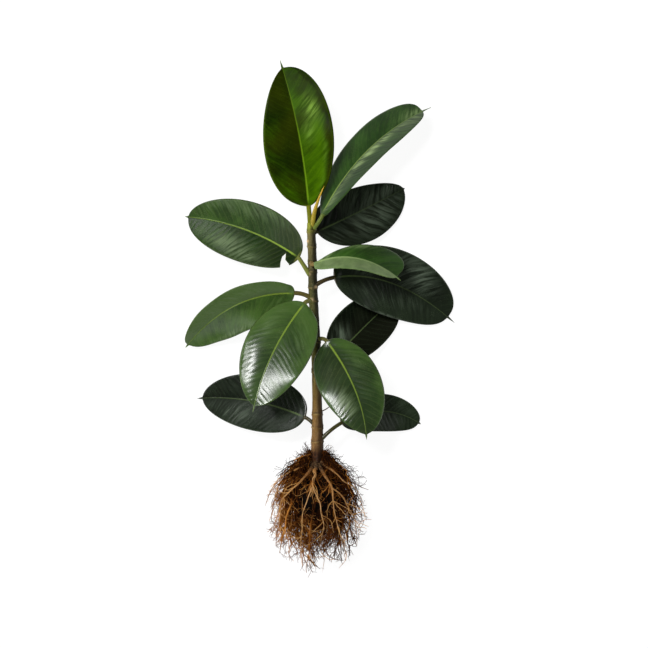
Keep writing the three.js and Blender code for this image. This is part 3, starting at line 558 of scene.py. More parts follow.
def grow_main_root(node, root, seed):
    rng = np.random.default_rng(seed)
    rows, sides = 90, 16
    path = root_path(root, rows)
    t = np.linspace(0, 1, rows)
    bends = sum(
        rng.normal(0, 0.35, 3) * np.sin(t[:, None] * rng.uniform(8, 30) + rng.uniform(0, 6))
        for _ in range(4))
    path = path + bends * np.minimum(1, 6 * t)[:, None]
    thick, thin = root["radius"]
    radius = (0.75 * thin + (0.95 * thick - 0.75 * thin) * (1 - t) ** root.get("taper", 3.6))[:, None]
    angle = np.linspace(0, 2 * np.pi, sides + 1)[None, :]
    knots = sum(
        0.05 * np.sin(t[:, None] * rng.uniform(20, 90) + k * angle + rng.uniform(0, 6))
        for k in range(4))
    radius = radius * (1 + knots) * np.minimum(1, 12 * (1 - t[:, None]) + 0.1)
    # Painted shade: the first part of a main root, near the crown, takes the dark start of the colour ramp
    late = root.get("late", 0.06)
    shade = np.maximum(np.maximum(0, t - late) / (1 - late), root.get("forked", 0))
    share = np.broadcast_to(shade[:, None], radius.shape)
    return skin(node + "_surface", tube_points(path, radius, sides), dict(share=end_rows(share)))


def strand_mesh(name, paths, radii, light_shade_and_tone, sides):
    """Many thin roots in one mesh. paths is strands by points by three."""
    strands, count = paths.shape[:2]
    along = unit(np.gradient(paths, axis=1))
    side = unit(np.cross(along, ODD_WAY))
    up = np.cross(along, side)
    angle = np.arange(sides) * 2 * np.pi / sides
    ring = side[:, :, None] * np.cos(angle)[:, None] + up[:, :, None] * np.sin(angle)[:, None]
    points = paths[:, :, None] + ring * radii[:, :, None, None]
    points[..., 2] = np.maximum(points[..., 2], ROOT_GAP - STEM_DEPTH)
    vertices = points.reshape(-1, 3) * MM + COLLAR
    k = np.arange(count - 1)[:, None] * sides
    j = np.arange(sides)[None, :]
    quad = np.stack([k + j, k + (j + 1) % sides, k + sides + (j + 1) % sides, k + sides + j],
                    axis=-1).reshape(-1, 4)
    base = (np.arange(strands) * count * sides)[:, None, None]
    quads = (quad[None] + base).reshape(-1, 4)
    caps = np.stack([np.arange(sides)[::-1], (count - 1) * sides + np.arange(sides)])
    caps = (caps[None] + base).reshape(-1, sides)
    loops = np.concatenate([quads.ravel(), caps.ravel()])
    sizes = np.concatenate([np.full(len(quads), 4), np.full(len(caps), sides)])
    mesh = bpy.data.meshes.new(name)
    mesh.vertices.add(len(vertices))
    mesh.vertices.foreach_set("co", vertices.ravel())
    mesh.loops.add(len(loops))
    mesh.loops.foreach_set("vertex_index", loops)
    mesh.polygons.add(len(sizes))
    mesh.polygons.foreach_set("loop_start", np.concatenate([[0], np.cumsum(sizes)[:-1]]))
    mesh.update(calc_edges=True)
    mesh.validate()
    tone = mesh.attributes.new("tone", "FLOAT", "POINT")
    tone.data.foreach_set("value", np.repeat(light_shade_and_tone, sides, axis=1).ravel())
    mesh.polygons.foreach_set("use_smooth", np.ones(len(sizes), bool))
    piece = bpy.data.objects.new(name, mesh)
    bpy.context.scene.collection.objects.link(piece)
    return piece


def wander(rng, start, heading, length, count, bend, pull=(0, 0, 0)):
    """Kinked paths from each start: the heading turns at random at every step and is pulled one way."""
    step = (length / (count - 1))[:, None]
    points = [start]
    for _ in range(count - 1):
        heading = unit(heading + rng.normal(0, bend, heading.shape) + np.array(pull))
        points.append(points[-1] + heading * step)
    return np.stack(points, axis=1)


def taper(rng, thick, thin, count):
    """Radii that shrink along each root. thick and thin hold one number for each root."""
    t = np.linspace(0, 1, count)[None, :]
    thick, thin = (np.asarray(size, float)[:, None] for size in (thick, thin))
    return (thick + (thin - thick) * t) * rng.uniform(0.85, 1.15, (len(thick), 1))


def ball_side(y):
    """The half width of the root ball at a height."""
    return np.interp(y, BALL_PROFILE[::-1, 0], BALL_PROFILE[::-1, 1])


def hung_points(fall, shell, turn):
    """Places in the ball. fall runs from its top to its bottom, shell from its axis to its outside."""
    y = BALL["y"] + BALL["half_length"] * np.cos(fall)
    z_reach = np.where(np.sin(turn) > 0, BALL["front"], BALL["back"]) * np.sqrt(np.maximum(0, np.sin(fall)))
    return np.stack([BALL["x"] + shell * ball_side(y) * np.cos(turn), y, shell * z_reach * np.sin(turn)],
                    axis=-1)


def hung_paths(rng, strands, count, shell, start, end, turn, kink):
    """Roots that leave the crown, spread and hang down round the ball."""
    t = np.linspace(0, 1, count)[None, :]
    fall = start[:, None] + (end - start)[:, None] * t
    turns = turn[:, None] + rng.normal(0, 0.22, (strands, 1)) * t
    paths = hung_points(fall, shell[:, None] * (0.9 + 0.1 * t), turns)
    drift = np.cumsum(rng.normal(0, kink, (strands, count, 3)), axis=1)
    return paths + (drift - drift[:, :1]) * [1, 0.5, 0.8]


def offshoots(rng, parents, radii, number, low, high, spread):
    """Starts, headings and thicknesses of side roots, at random places along their parents."""
    which = rng.integers(0, len(parents), number)
    count = parents.shape[1]
    at = np.minimum((rng.uniform(low, high, number) * count).astype(int), count - 2)
    start = parents[which, at]
    ahead = unit(parents[which, at + 1] - start)
    across = unit(np.cross(ahead, rng.normal(0, 1, (number, 3))))
    return start, unit(ahead + spread * across), radii[which, at]


def root_tone(rng, paths, lift=0.0, spread=0.12):
    """How pale each root is: dark inside and at the crown as painted shade, dark in the wisps, and paler on
    the left as painted light.
    """
    offset = (paths - [BALL["x"], BALL["y"], 0]) / [BALL["half_width"], BALL["half_length"], 44]
    depth = np.linalg.norm(offset, axis=-1)
    tone = np.interp(depth, [0.45, 0.7, 0.95, 1.15, 1.4], [0.0, 0.14, 0.5, 0.46, 0.28])
    # Painted shade under the stem at the crown, and painted light on the left side of the ball
    crown = smooth_step(paths[..., 1], -50, -10)
    side = np.where(offset[..., 0] > 0, 0.1, 0.28) * offset[..., 0] * smooth_step(depth, 0.3, 0.8)
    tone = (tone + lift - side) * (1 - 0.85 * crown)
    return np.clip(tone + rng.normal(0, spread, (len(paths), 1)), 0, 1)


def clear_of_collar(paths):
    """Which roots leave the front of the foot of the stem in sight."""
    x, y, z = np.moveaxis(paths, -1, 0)
    near = np.abs(x - FOOT_FRONT["x"]) < FOOT_FRONT["half_width"]
    in_the_way = near & (y > FOOT_FRONT["low"]) & (z > 0)
    return ~in_the_way.any(axis=1)


def inside_outline(paths):
    """Which roots stay within the outline of the whole root ball."""
    reach = np.interp(paths[..., 1], ROOT_OUTLINE[::-1, 0], ROOT_OUTLINE[::-1, 1])
    return (np.abs(paths[..., 0] - BALL["x"]) < reach).all(axis=1)


def side_turns(rng, number, spread):
    """Angles round the ball that bunch at its left and right sides."""
    return rng.normal(0, spread, number) + np.pi * (rng.random(number) < 0.55)


def grow_curtains(rng):
    """The longer thin roots that hang at the sides, the back and the bottom of the ball."""
    number, count = 350, 15
    turn = np.concatenate([
        side_turns(rng, 240, 0.4), rng.uniform(np.pi, 2 * np.pi, 60), rng.uniform(0, np.pi, 50)])
    shell = np.concatenate([rng.uniform(0.5, 1.06, 300), rng.uniform(0.5, 0.9, 50)])
    start = np.concatenate([rng.uniform(0.3, 1.2, 300), rng.uniform(1.8, 2.1, 50)])
    end = np.minimum(start + rng.uniform(0.6, 1.7, number), rng.uniform(1.9, 2.6, number))
    paths = hung_paths(rng, number, count, shell, start, end, turn, 2.3)
    radii = taper(rng, 0.36 + 0.6 * rng.uniform(0, 1, number) ** 2, np.full(number, 0.24), count)
    return paths, radii


def grow_wisps(rng):
    """The dark kinked roots that stick out of the sides of the ball."""
    number, count = 120, 15
    turn = side_turns(rng, number, 0.4)
    start = hung_points(rng.uniform(0.4, 2.0, number), np.full(number, 0.85), turn)
    outward = unit((start - [BALL["x"], BALL["y"] + 70, 0]) * [1, 1, 0.4])
    heading = unit(outward + rng.normal(0, 0.2, (number, 3)))
    paths = wander(rng, start, heading, rng.uniform(16, 38, number), count, 0.17, (0, -0.05, 0))
    return paths, taper(rng, rng.uniform(0.45, 0.8, number), np.full(number, 0.28), count)


def grow_tail(rng):
    """The roots that hang out of the bottom of the ball, in a rounded fan."""
    number, count = 46, 16
    start = np.stack([rng.uniform(-40, 44, number), rng.uniform(-96, -52, number),
                      rng.uniform(-30, 30, number)], axis=1)
    aside = (start[:, 0] - BALL["x"]) / BALL["half_width"]
    heading = unit(np.stack([0.5 * aside, np.full(number, -1.0), rng.normal(0, 0.12, number)], axis=1))
    end = -(153 - 34 * np.abs(aside)) * rng.uniform(0.8, 1.0, number)
    paths = wander(
        rng, start, heading, np.maximum(18, 1.06 * (start[:, 1] - end)), count, 0.15, (0, -0.03, 0))
    return paths, taper(rng, rng.uniform(0.8, 1.4, number), np.full(number, 0.36), count)


def branch(rng, parents, radii, number, low, high, length, bend, spread, thin, count=10, pull=(0, 0, 0)):
    """Side roots along the given ones: their paths and their thicknesses."""
    start, heading, thick = offshoots(rng, parents, radii, number, low, high, spread)
    paths = wander(rng, start, heading, rng.uniform(*length, number), count, bend, pull)
    return paths, taper(rng, np.maximum(0.66 * thick, thin), np.full(number, thin), count)


def curl(rng, start, length, thick):
    """Short curled rootlets in every direction."""
    number = len(start)
    heading = unit(rng.normal(0, 1, (number, 3)) + [0, -0.3, 0])
    paths = wander(rng, start, heading, rng.uniform(*length, number), 9, 0.5)
    return paths, taper(rng, rng.uniform(*thick, number), np.full(number, 0.13), 9)


def grow_fine_roots():
    rng = np.random.default_rng(11)
    curtains, curtain_radii = grow_curtains(rng)
    wisps, wisp_radii = grow_wisps(rng)
    tail, tail_radii = grow_tail(rng)
    front = np.stack([root_path(ROOTS[name], 15) for name in FRONT_ROOTS])
    pale, pale_radii = branch(
        rng, front, np.full(front.shape[:2], 0.6), 84, 0.25, 0.95, (12, 36), 0.18, 0.7, 0.22, 15)
    forks, fork_radii = branch(rng, wisps, wisp_radii, 340, 0.3, 0.9, (7, 20), 0.2, 0.7, 0.22)
    toes, toe_radii = branch(
        rng, tail, tail_radii, 200, 0.3, 0.95, (9, 26), 0.2, 0.7, 0.28, 10, (0, -0.05, 0))
    hairs, hair_radii = branch(rng, forks, fork_radii, 300, 0.2, 0.95, (4, 11), 0.3, 0.9, 0.16, 6)
    threads, thread_radii = branch(rng, toes, toe_radii, 280, 0.1, 0.95, (4, 13), 0.3, 0.8, 0.2, 6)
    twigs, twig_radii = branch(
        rng, curtains, curtain_radii, 1350, 0.05, 0.98, (6, 20), 0.36, 0.8, 0.18, 10, (0, -0.06, 0))

    number = 1900
    fall = rng.uniform(0.4, 2.35, number)
    turn = np.where(rng.random(number) < 0.6, side_turns(rng, number, 0.36),
                    rng.uniform(np.pi, 2 * np.pi, number))
    shell = 0.5 + 0.42 * rng.uniform(0, 1, number) ** 1.5
    curls, curl_radii = curl(rng, hung_points(fall, shell, turn), (5, 15), (0.17, 0.28))

    number = 200
    start = hung_points(rng.uniform(0.55, 2.0, number), rng.uniform(0.5, 0.85, number),
                        rng.uniform(0.15, 0.85, number) * np.pi)
    net, net_radii = curl(rng, start, (8, 30), (0.14, 0.22))

    number = 900
    start = hung_points(rng.uniform(1.72, 2.5, number), rng.uniform(0.4, 0.95, number),
                        rng.uniform(0.1, 0.9, number) * np.pi)
    mat, mat_radii = curl(rng, start, (6, 20), (0.16, 0.3))

    number = 1100
    turn = rng.uniform(0.8, 2.2, number) * np.pi
    height = rng.uniform(-32, 6, number)
    out = np.stack([np.cos(turn), np.zeros(number), np.sin(turn)], axis=-1)
    start = (out * rng.uniform(4, 9, (number, 1))
             + np.stack([np.full(number, 2.0), height, np.zeros(number)], axis=-1))
    reach = np.interp(height, [-30, 6], [40, 17]) * rng.uniform(0.35, 1.15, number)
    fuzz = wander(rng, start, unit(out + rng.normal(0, 0.3, (number, 3))), reach, 9, 0.34, (0, -0.03, 0))
    fuzz_radii = taper(rng, rng.uniform(0.28, 0.5, number), np.full(number, 0.16), 9)

    made = []
    for name, paths, radii, lift, spread, sides in [
        ("hanging_roots", curtains, curtain_radii, 0.0, 0.28, 4),
        ("root_wisps", wisps, wisp_radii, -0.08, 0.1, 4),
        ("tail_roots", tail, tail_radii, -0.04, 0.16, 5),
        ("pale_side_roots", pale, pale_radii, 0.6, 0.12, 4),
        ("wisp_forks", forks, fork_radii, -0.14, 0.12, 4),
        ("tail_forks", toes, toe_radii, -0.12, 0.14, 4),
        ("wisp_hairs", hairs, hair_radii, -0.14, 0.12, 3),
        ("tail_hairs", threads, thread_radii, -0.16, 0.14, 3),
        ("branch_roots", twigs, twig_radii, -0.2, 0.28, 3),
        ("curled_rootlets", curls, curl_radii, -0.32, 0.2, 3),
        ("front_rootlets", net, net_radii, 0.62, 0.2, 3),
        ("lower_rootlets", mat, mat_radii, -0.12, 0.2, 3),
        ("crown_rootlets", fuzz, fuzz_radii, 0.8, 0.1, 3),
    ]:
        kept = clear_of_collar(paths) & inside_outline(paths)
        light_shade_and_tone = root_tone(rng, paths[kept], lift, spread)
        made.append(strand_mesh(name, paths[kept], radii[kept], light_shade_and_tone, sides))
    return made


def grow_heart():
    """The dark heart of the ball, where the roots are packed: its near-black colour is painted shade for the
    inside of the root mass.
    """
    bpy.ops.mesh.primitive_ico_sphere_add(subdivisions=5, radius=1)
    piece = bpy.context.object
    piece.name = "root_heart"
    mesh = piece.data
    points = np.empty(len(mesh.vertices) * 3)
    mesh.vertices.foreach_get("co", points)
    points = points.reshape(-1, 3)
    x, y, z = points.T
    lump = (0.05 * np.sin(6 * x + 1) * np.sin(7 * y + 2) + 0.04 * np.sin(11 * z + 5 * x)
            + 0.03 * np.sin(17 * y + 9 * z))
    depth = np.where(z > 0, HEART["front"] * BALL["front"], HEART["back"] * BALL["back"])
    shape = points * (1 + lump)[:, None] * np.stack([
        np.full(len(x), HEART["half_width"] * BALL["half_width"]),
        np.full(len(x), HEART["half_length"] * BALL["half_length"]),
        depth,
    ], axis=1)
    shape += [BALL["x"], BALL["y"] + 2, 0]
    shape[:, 2] = np.maximum(shape[:, 2], HEART_GAP - STEM_DEPTH)
    mesh.vertices.foreach_set("co", (shape * MM + COLLAR).ravel())
    mesh.update()
    bpy.ops.object.shade_smooth()
    bpy.ops.object.select_all(action="DESELECT")
    return piece


# ---- materials ----

class Sheet:
    """Short hands for a node tree that is being laid out."""

    def __init__(self, tree):
        self.tree = tree
        self.count = 0

    def node(self, kind, **settings):
        made = self.tree.nodes.new(kind)
        made.location = (200 * (self.count % 12), -220 * (self.count // 12))
        self.count += 1
        for key, value in settings.items():
            setattr(made, key, value)
        return made

    def set(self, socket, value):
        if isinstance(value, bpy.types.NodeSocket):
            self.tree.links.new(value, socket)
        else:
            socket.default_value = value

    def mask(self, name):
        return self.node("ShaderNodeAttribute", attribute_name=name).outputs["Fac"]

    def maths(self, operation, a, b=0.0, clamp=False):
        made = self.node("ShaderNodeMath", operation=operation, use_clamp=clamp)
        self.set(made.inputs[0], a)
        self.set(made.inputs[1], b)
        return made.outputs[0]

    def mix(self, factor, a, b):
        made = self.node("ShaderNodeMix", data_type="RGBA")
        self.set(made.inputs["Factor"], factor)
        self.set(made.inputs["A"], a)
        self.set(made.inputs["B"], b)
        return made.outputs["Result"]

    def noise(self, vector, scale, detail=3.0, roughness=0.55):
        made = self.node("ShaderNodeTexNoise")
        self.set(made.inputs["Vector"], vector)
        made.inputs["Scale"].default_value = scale
        made.inputs["Detail"].default_value = detail
        made.inputs["Roughness"].default_value = roughness
        return made.outputs["Fac"]

    def stretch(self, value, low, high, to_low=0.0, to_high=1.0):
        made = self.node("ShaderNodeMapRange")
        for socket, number in zip(made.inputs[:5], (value, low, high, to_low, to_high)):
            self.set(socket, number)
        return made.outputs["Result"]

    def ramp(self, factor, stops):
        made = self.node("ShaderNodeValToRGB")
        band = made.color_ramp
        while len(band.elements) < len(stops):
            band.elements.new(0.5)
        for element, (place, colour) in zip(band.elements, stops):
            element.position = place
            element.color = colour
        self.set(made.inputs["Fac"], factor)
        return made.outputs["Color"]


def colour(red, green, blue):
    """A paint-chart colour, 0 to 255, as the linear colour that nodes take."""
    parts = [c / 255 for c in (red, green, blue)]
    return tuple(c / 12.92 if c <= 0.04045 else ((c + 0.055) / 1.055) ** 2.4 for c in parts) + (1.0,)


def effect(name, inputs, outputs):
    tree = bpy.data.node_groups.new(name, "ShaderNodeTree")
    for label, kind in inputs:
        tree.interface.new_socket(label, in_out="INPUT", socket_type=kind)
    for label, kind in outputs:
        tree.interface.new_socket(label, in_out="OUTPUT", socket_type=kind)
    sheet = Sheet(tree)
    return tree, sheet, sheet.node("NodeGroupInput"), sheet.node("NodeGroupOutput")


def leaf_tissue_effect():
    """Colour, roughness and height of a leaf: mottled blade, veins, midrib, margin, underside and petiole,
    with painted highlights and painted light and shade in the colour.
    """
    labels = ["Blade", "Dark", "Pale", "Warm", "Wax", "Vein", "Rib", "Under", "Petiole", "Stalk"]
    tree, s, given, out = effect(
        "leaf_tissue",
        [(label, "NodeSocketColor") for label in labels] + [("Gloss", "NodeSocketFloat")],
        [("Colour", "NodeSocketColor"), ("Roughness", "NodeSocketFloat"), ("Height", "NodeSocketFloat")])
    blade, dark, pale, warm, wax, vein, rib, under, petiole, stalk = (
        given.outputs[label] for label in labels)
    place = s.node("ShaderNodeTexCoord").outputs["Object"]
    phase = s.mask("phase")
    along_veins = s.node("ShaderNodeCombineXYZ")
    s.set(along_veins.inputs[0], s.maths("MULTIPLY", phase, 1.5))
    s.set(along_veins.inputs[1], s.maths("MULTIPLY", s.mask("across"), 0.035))
    streak = s.stretch(s.noise(along_veins.outputs[0], 1.0, 4, 0.6), 0.36, 0.62)
    crease = s.maths("ABSOLUTE", s.maths("SINE", s.maths("MULTIPLY", phase, math.pi)))
    line = s.maths("MULTIPLY", s.stretch(crease, 0.0, 0.3, 1.0, 0.0), s.mask("inside"))
    cloud = s.stretch(s.noise(place, 32, 4), 0.32, 0.7)
    patch = s.stretch(s.noise(place, 17, 2), 0.4, 0.65)
    speck = s.stretch(s.noise(place, 800, 4), 0.48, 0.75)
    dust = s.maths("MULTIPLY", speck, s.stretch(s.noise(place, 60, 3), 0.42, 0.68))
    light = s.maths("ADD", s.mask("lightness"), s.stretch(cloud, 0.0, 1.0, -0.2, 0.2))
    light = s.maths("ADD", light, s.stretch(streak, 0.0, 1.0, -0.12, 0.1))
    top = s.mix(s.stretch(light, 0.0, 0.5), dark, blade)
    top = s.mix(s.stretch(light, 0.5, 1.0), top, pale)
    top = s.mix(s.maths("MULTIPLY", patch, s.stretch(light, 0.2, 0.6, 0.8, 0.0)), top, warm)
    # The waxy colour here is partly waxy bloom and partly a painted matte grey-green reflection
    bloom_and_highlight = s.maths("MULTIPLY", s.mask("wax"), s.stretch(s.noise(place, 110, 4), 0.25, 0.7, 0.55, 1.3),
                    clamp=True)
    # Painted highlights: the highlight spots, streaked along the veins and broken at the vein lines, turn the
    # blade towards the pale waxy colour
    shine = s.maths("MULTIPLY", s.mask("painted_highlight"), s.stretch(streak, 0.15, 0.9, 0.1, 1.0))
    shine = s.maths("MULTIPLY", shine, s.stretch(line, 0.0, 1.0, 0.8, 0.25), clamp=True)
    bloom_and_highlight = s.maths("MAXIMUM", bloom_and_highlight, shine)
    top = s.mix(bloom_and_highlight, top, wax)
    top = s.mix(s.maths("MULTIPLY", dust, s.stretch(light, 0.1, 1.0, 0.25, 0.6)), top, vein)
    top = s.mix(s.maths("MULTIPLY", line, s.stretch(shine, 0.0, 0.5, 0.24, 0.0)), top, vein)
    # The margin turns towards the vein colour: partly its own paler colour, partly a painted highlight along
    # the edge
    top = s.mix(s.maths("MULTIPLY", s.mask("margin"), 0.4), top, vein)
    rib_mask = s.mask("rib")
    rib_fade = s.stretch(s.mask("share"), 0.0, 0.95, 1.0, 0.4)
    rib_fade = s.maths("MULTIPLY", rib_fade, s.stretch(s.mask("faint_rib"), 0.0, 1.0, 1.0, 0.0))
    rib_colour = s.mix(s.mask("pale_rib"), rib, wax)
    top = s.mix(s.maths("MULTIPLY", rib_mask, rib_fade), top, rib_colour)
    below = s.mix(s.maths("MULTIPLY", cloud, 0.3), under, pale)
    below = s.mix(s.maths("MAXIMUM", rib_mask, s.maths("MULTIPLY", line, 0.3)), below, rib)
    grown = s.mix(s.maths("MULTIPLY", s.mask("brown"), s.stretch(speck, 0.0, 1.0, 1.0, 0.6)), petiole, stalk)
    s.set(out.inputs["Colour"], s.mix(s.mask("blade"), grown, s.mix(s.mask("upper"), below, top)))
    rough = s.maths("ADD", given.outputs["Gloss"], s.maths("MULTIPLY", cloud, 0.06))
    rough = s.maths("ADD", rough, s.maths("MULTIPLY", bloom_and_highlight, 0.2))
    rough = s.maths("ADD", rough, s.maths("MULTIPLY", dust, 0.12))
    rough = s.maths("ADD", rough, s.stretch(s.mask("dull"), 0.0, 1.0, 0.0, 0.06))
    rough = s.maths("ADD", rough, s.stretch(s.mask("upper"), 0.0, 1.0, 0.3, 0.0), clamp=True)
    s.set(out.inputs["Roughness"], rough)
    s.set(out.inputs["Height"], s.maths("ADD", s.noise(place, 900, 2), s.maths("MULTIPLY", cloud, 0.5)))
    return tree


def grain_effect():
    """Streaks along the plant and small specks, for bark and roots."""
    tree, s, given, out = effect(
        "bark_grain", [("Scale", "NodeSocketFloat")],
        [("Streak", "NodeSocketFloat"), ("Speck", "NodeSocketFloat"), ("Height", "NodeSocketFloat")])
    place = s.node("ShaderNodeTexCoord").outputs["Object"]
    scaled = s.node("ShaderNodeVectorMath", operation="SCALE")
    s.set(scaled.inputs[0], place)
    s.set(scaled.inputs["Scale"], given.outputs["Scale"])
    squeeze = s.node("ShaderNodeMapping")
    squeeze.inputs["Scale"].default_value = (1.0, 0.22, 1.0)
    s.set(squeeze.inputs["Vector"], scaled.outputs[0])
    streak = s.stretch(s.noise(squeeze.outputs[0], 600, 4), 0.35, 0.7)
    speck = s.stretch(s.noise(scaled.outputs[0], 900, 3), 0.5, 0.72)
    s.set(out.inputs["Streak"], streak)
    s.set(out.inputs["Speck"], speck)
    s.set(out.inputs["Height"], s.maths("ADD", streak, s.maths("MULTIPLY", speck, 0.6)))
    return tree


def material(name):
    made = bpy.data.materials.new(name)
    made.use_nodes = True
    shader = made.node_tree.nodes["Principled BSDF"]
    return made, Sheet(made.node_tree), shader


def bump(sheet, shader, height, strength, distance):
    node = sheet.node("ShaderNodeBump")
    node.inputs["Strength"].default_value = strength
    node.inputs["Distance"].default_value = distance
    sheet.set(node.inputs["Height"], height)
    sheet.set(shader.inputs["Normal"], node.outputs["Normal"])


def leaf_material(name, tissue, gloss, shine, **colours):
    made, s, shader = material(name)
    group = s.node("ShaderNodeGroup", node_tree=tissue)
    for label, value in colours.items():
        group.inputs[label.capitalize()].default_value = colour(*value)
    group.inputs["Gloss"].default_value = gloss
    s.set(shader.inputs["Base Color"], group.outputs["Colour"])
    s.set(shader.inputs["Roughness"], group.outputs["Roughness"])
    shader.inputs["Specular IOR Level"].default_value = shine
    bump(s, shader, group.outputs["Height"], 0.05, 0.0004)
    return made


def stem_material(grain):
    made, s, shader = material("stem_bark")
    group = s.node("ShaderNodeGroup", node_tree=grain)
    group.inputs["Scale"].default_value = 0.7
    place = s.node("ShaderNodeSeparateXYZ")
    s.set(place.inputs[0], s.node("ShaderNodeTexCoord").outputs["Object"])
    low, high = (COLLAR[1] + h * MM for h in (STEM[0][0], STEM[-1][0]))
    height = s.stretch(place.outputs["Y"], low, high)
    bark = s.ramp(height, [
        (0.0, colour(38, 17, 5)), (0.045, colour(72, 38, 13)), (0.085, colour(96, 56, 23)),
        (0.1, colour(134, 96, 50)), (0.3, colour(120, 92, 36)), (0.42, colour(104, 92, 32)),
        (0.52, colour(92, 98, 34)), (0.66, colour(86, 90, 36)),
        (0.79, colour(60, 58, 22)), (0.9, colour(104, 96, 50)), (0.955, colour(108, 100, 50)),
        (0.975, colour(134, 142, 40)), (1.0, colour(144, 150, 32))])
    dark = s.ramp(height, [
        (0.0, colour(24, 11, 4)), (0.09, colour(50, 27, 10)), (0.12, colour(78, 50, 24)),
        (0.42, colour(44, 36, 12)),
        (0.955, colour(40, 34, 10)), (0.98, colour(92, 96, 20)), (1.0, colour(100, 106, 20))])
    # Painted shade: the bark colours for the shaded right side of the stem
    deep = s.ramp(height, [
        (0.0, colour(16, 7, 2)), (0.09, colour(36, 18, 6)), (0.12, colour(52, 32, 15)),
        (0.34, colour(38, 26, 10)), (0.45, colour(13, 11, 4)), (0.955, colour(18, 15, 5)),
        (0.98, colour(60, 58, 9)), (1.0, colour(74, 72, 10))])
    mixed = s.mix(s.maths("MULTIPLY", group.outputs["Streak"], 0.65), bark, dark)
    dusty = s.maths("MULTIPLY", group.outputs["Speck"], s.stretch(height, 0.08, 0.13, 0.04, 0.35))
    mixed = s.mix(dusty, mixed, colour(150, 130, 86))
    # Painted shade: on the right side the bark turns to the darkest ramp
    mixed = s.mix(s.maths("MULTIPLY", s.mask("shaded_side"), 0.85), mixed, deep)
    broken = s.stretch(s.noise(s.node("ShaderNodeTexCoord").outputs["Object"], 260, 2), 0.4, 0.62)
    mixed = s.mix(s.maths("MULTIPLY", s.mask("scar"), s.stretch(broken, 0.0, 1.0, 0.1, 0.7)), mixed,
                  colour(30, 22, 10))
    # The pale scar lips fade on the shaded right side: painted shade
    mixed = s.mix(s.maths("MULTIPLY", s.maths("MULTIPLY", s.mask("lip"), broken),
                          s.stretch(s.mask("shaded_side"), 0.0, 1.0, 0.7, 0.2)), mixed, colour(156, 134, 80))
    mixed = s.mix(s.mask("spot"), mixed, colour(214, 184, 140))
    soiled = s.stretch(s.noise(s.node("ShaderNodeTexCoord").outputs["Object"], 420, 3), 0.4, 0.6)
    soiled = s.maths("MULTIPLY", soiled, s.stretch(height, 0.08, 0.115, 0.75, 0.0))
    mixed = s.mix(soiled, mixed, colour(26, 11, 3))
    s.set(shader.inputs["Base Color"], mixed)
    s.set(shader.inputs["Roughness"], s.stretch(group.outputs["Streak"], 0.0, 1.0, 0.5, 0.75))
    shader.inputs["Specular IOR Level"].default_value = 0.2
    bump(s, shader, group.outputs["Height"], 0.4, 0.0006)
    return made


def shoot_material(name, foot, tip, rough):
    made, s, shader = material(name)
    place = s.node("ShaderNodeTexCoord").outputs["Object"]
    mottle = s.stretch(s.noise(place, 500, 3), 0.4, 0.7)
    body = s.mix(s.mask("share"), foot, tip)
    dark = s.mix(s.maths("MULTIPLY", mottle, 0.3), body, colour(70, 60, 14))
    s.set(shader.inputs["Base Color"], dark)
    shader.inputs["Roughness"].default_value = rough
    bump(s, shader, mottle, 0.2, 0.0004)
    return made


def root_material(grain):
    made, s, shader = material("main_root_skin")
    group = s.node("ShaderNodeGroup", node_tree=grain)
    group.inputs["Scale"].default_value = 1.0
    # Painted shade: the dark start of the ramp is where the roots leave the crown
    along = s.ramp(s.mask("share"), [
        (0.0, colour(34, 20, 10)), (0.05, colour(62, 36, 17)), (0.14, colour(132, 86, 40)),
        (0.3, colour(178, 126, 68)), (0.7, colour(206, 158, 102)), (1.0, colour(140, 88, 42))])
    mixed = s.mix(s.maths("MULTIPLY", group.outputs["Streak"], 0.6), along, colour(92, 56, 26))
    mixed = s.mix(s.maths("MULTIPLY", group.outputs["Speck"], 0.4), mixed, colour(214, 176, 124))
    s.set(shader.inputs["Base Color"], mixed)
    shader.inputs["Roughness"].default_value = 0.8
    shader.inputs["Specular IOR Level"].default_value = 0.2
    bump(s, shader, group.outputs["Height"], 0.6, 0.0006)
    return made


def fine_root_material():
    made, s, shader = material("fine_root_skin")
    place = s.node("ShaderNodeTexCoord").outputs["Object"]
    patch = s.stretch(s.noise(place, 60, 3), 0.3, 0.7, -0.15, 0.15)
    tone = s.maths("ADD", s.mask("tone"), patch, clamp=True)
    shade = s.ramp(tone, [
        (0.0, colour(32, 14, 4)), (0.3, colour(76, 39, 12)), (0.55, colour(130, 77, 26)),
        (0.8, colour(184, 120, 52)), (1.0, colour(214, 162, 98))])
    s.set(shader.inputs["Base Color"], shade)
    shader.inputs["Roughness"].default_value = 0.85
    shader.inputs["Specular IOR Level"].default_value = 0.04
    return made


def heart_material():
    made, s, shader = material("shaded_root_heart")
    place = s.node("ShaderNodeTexCoord").outputs["Object"]
    grit = s.noise(place, 500, 5, 0.7)
    # Painted shade: near-black, for the inside of the root mass
    s.set(shader.inputs["Base Color"], s.ramp(s.stretch(grit, 0.35, 0.7), [
        (0.0, colour(5, 3, 2)), (0.7, colour(18, 11, 6)), (1.0, colour(52, 31, 15))]))
    shader.inputs["Roughness"].default_value = 1.0
    shader.inputs["Specular IOR Level"].default_value = 0.1
    bump(s, shader, grit, 1.0, 0.003)
    return made


# ---- assembly ----

def finish_piece(piece, look, slot, *nodes):
    piece.data.materials.clear()
    piece.data.materials.append(look)
    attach(piece, "root")
    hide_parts(*nodes)


# The pale grey-green waxy colour serves waxy bloom, painted highlights, painted reflections and the pale
# midrib
GREEN = dict(
    blade=(32, 56, 18), dark=(12, 32, 7), pale=(64, 94, 35), warm=(34, 46, 17), wax=(118, 136, 98),
    vein=(94, 108, 62), rib=(132, 158, 58), under=(104, 122, 84), petiole=(112, 118, 56), stalk=(84, 64, 40))
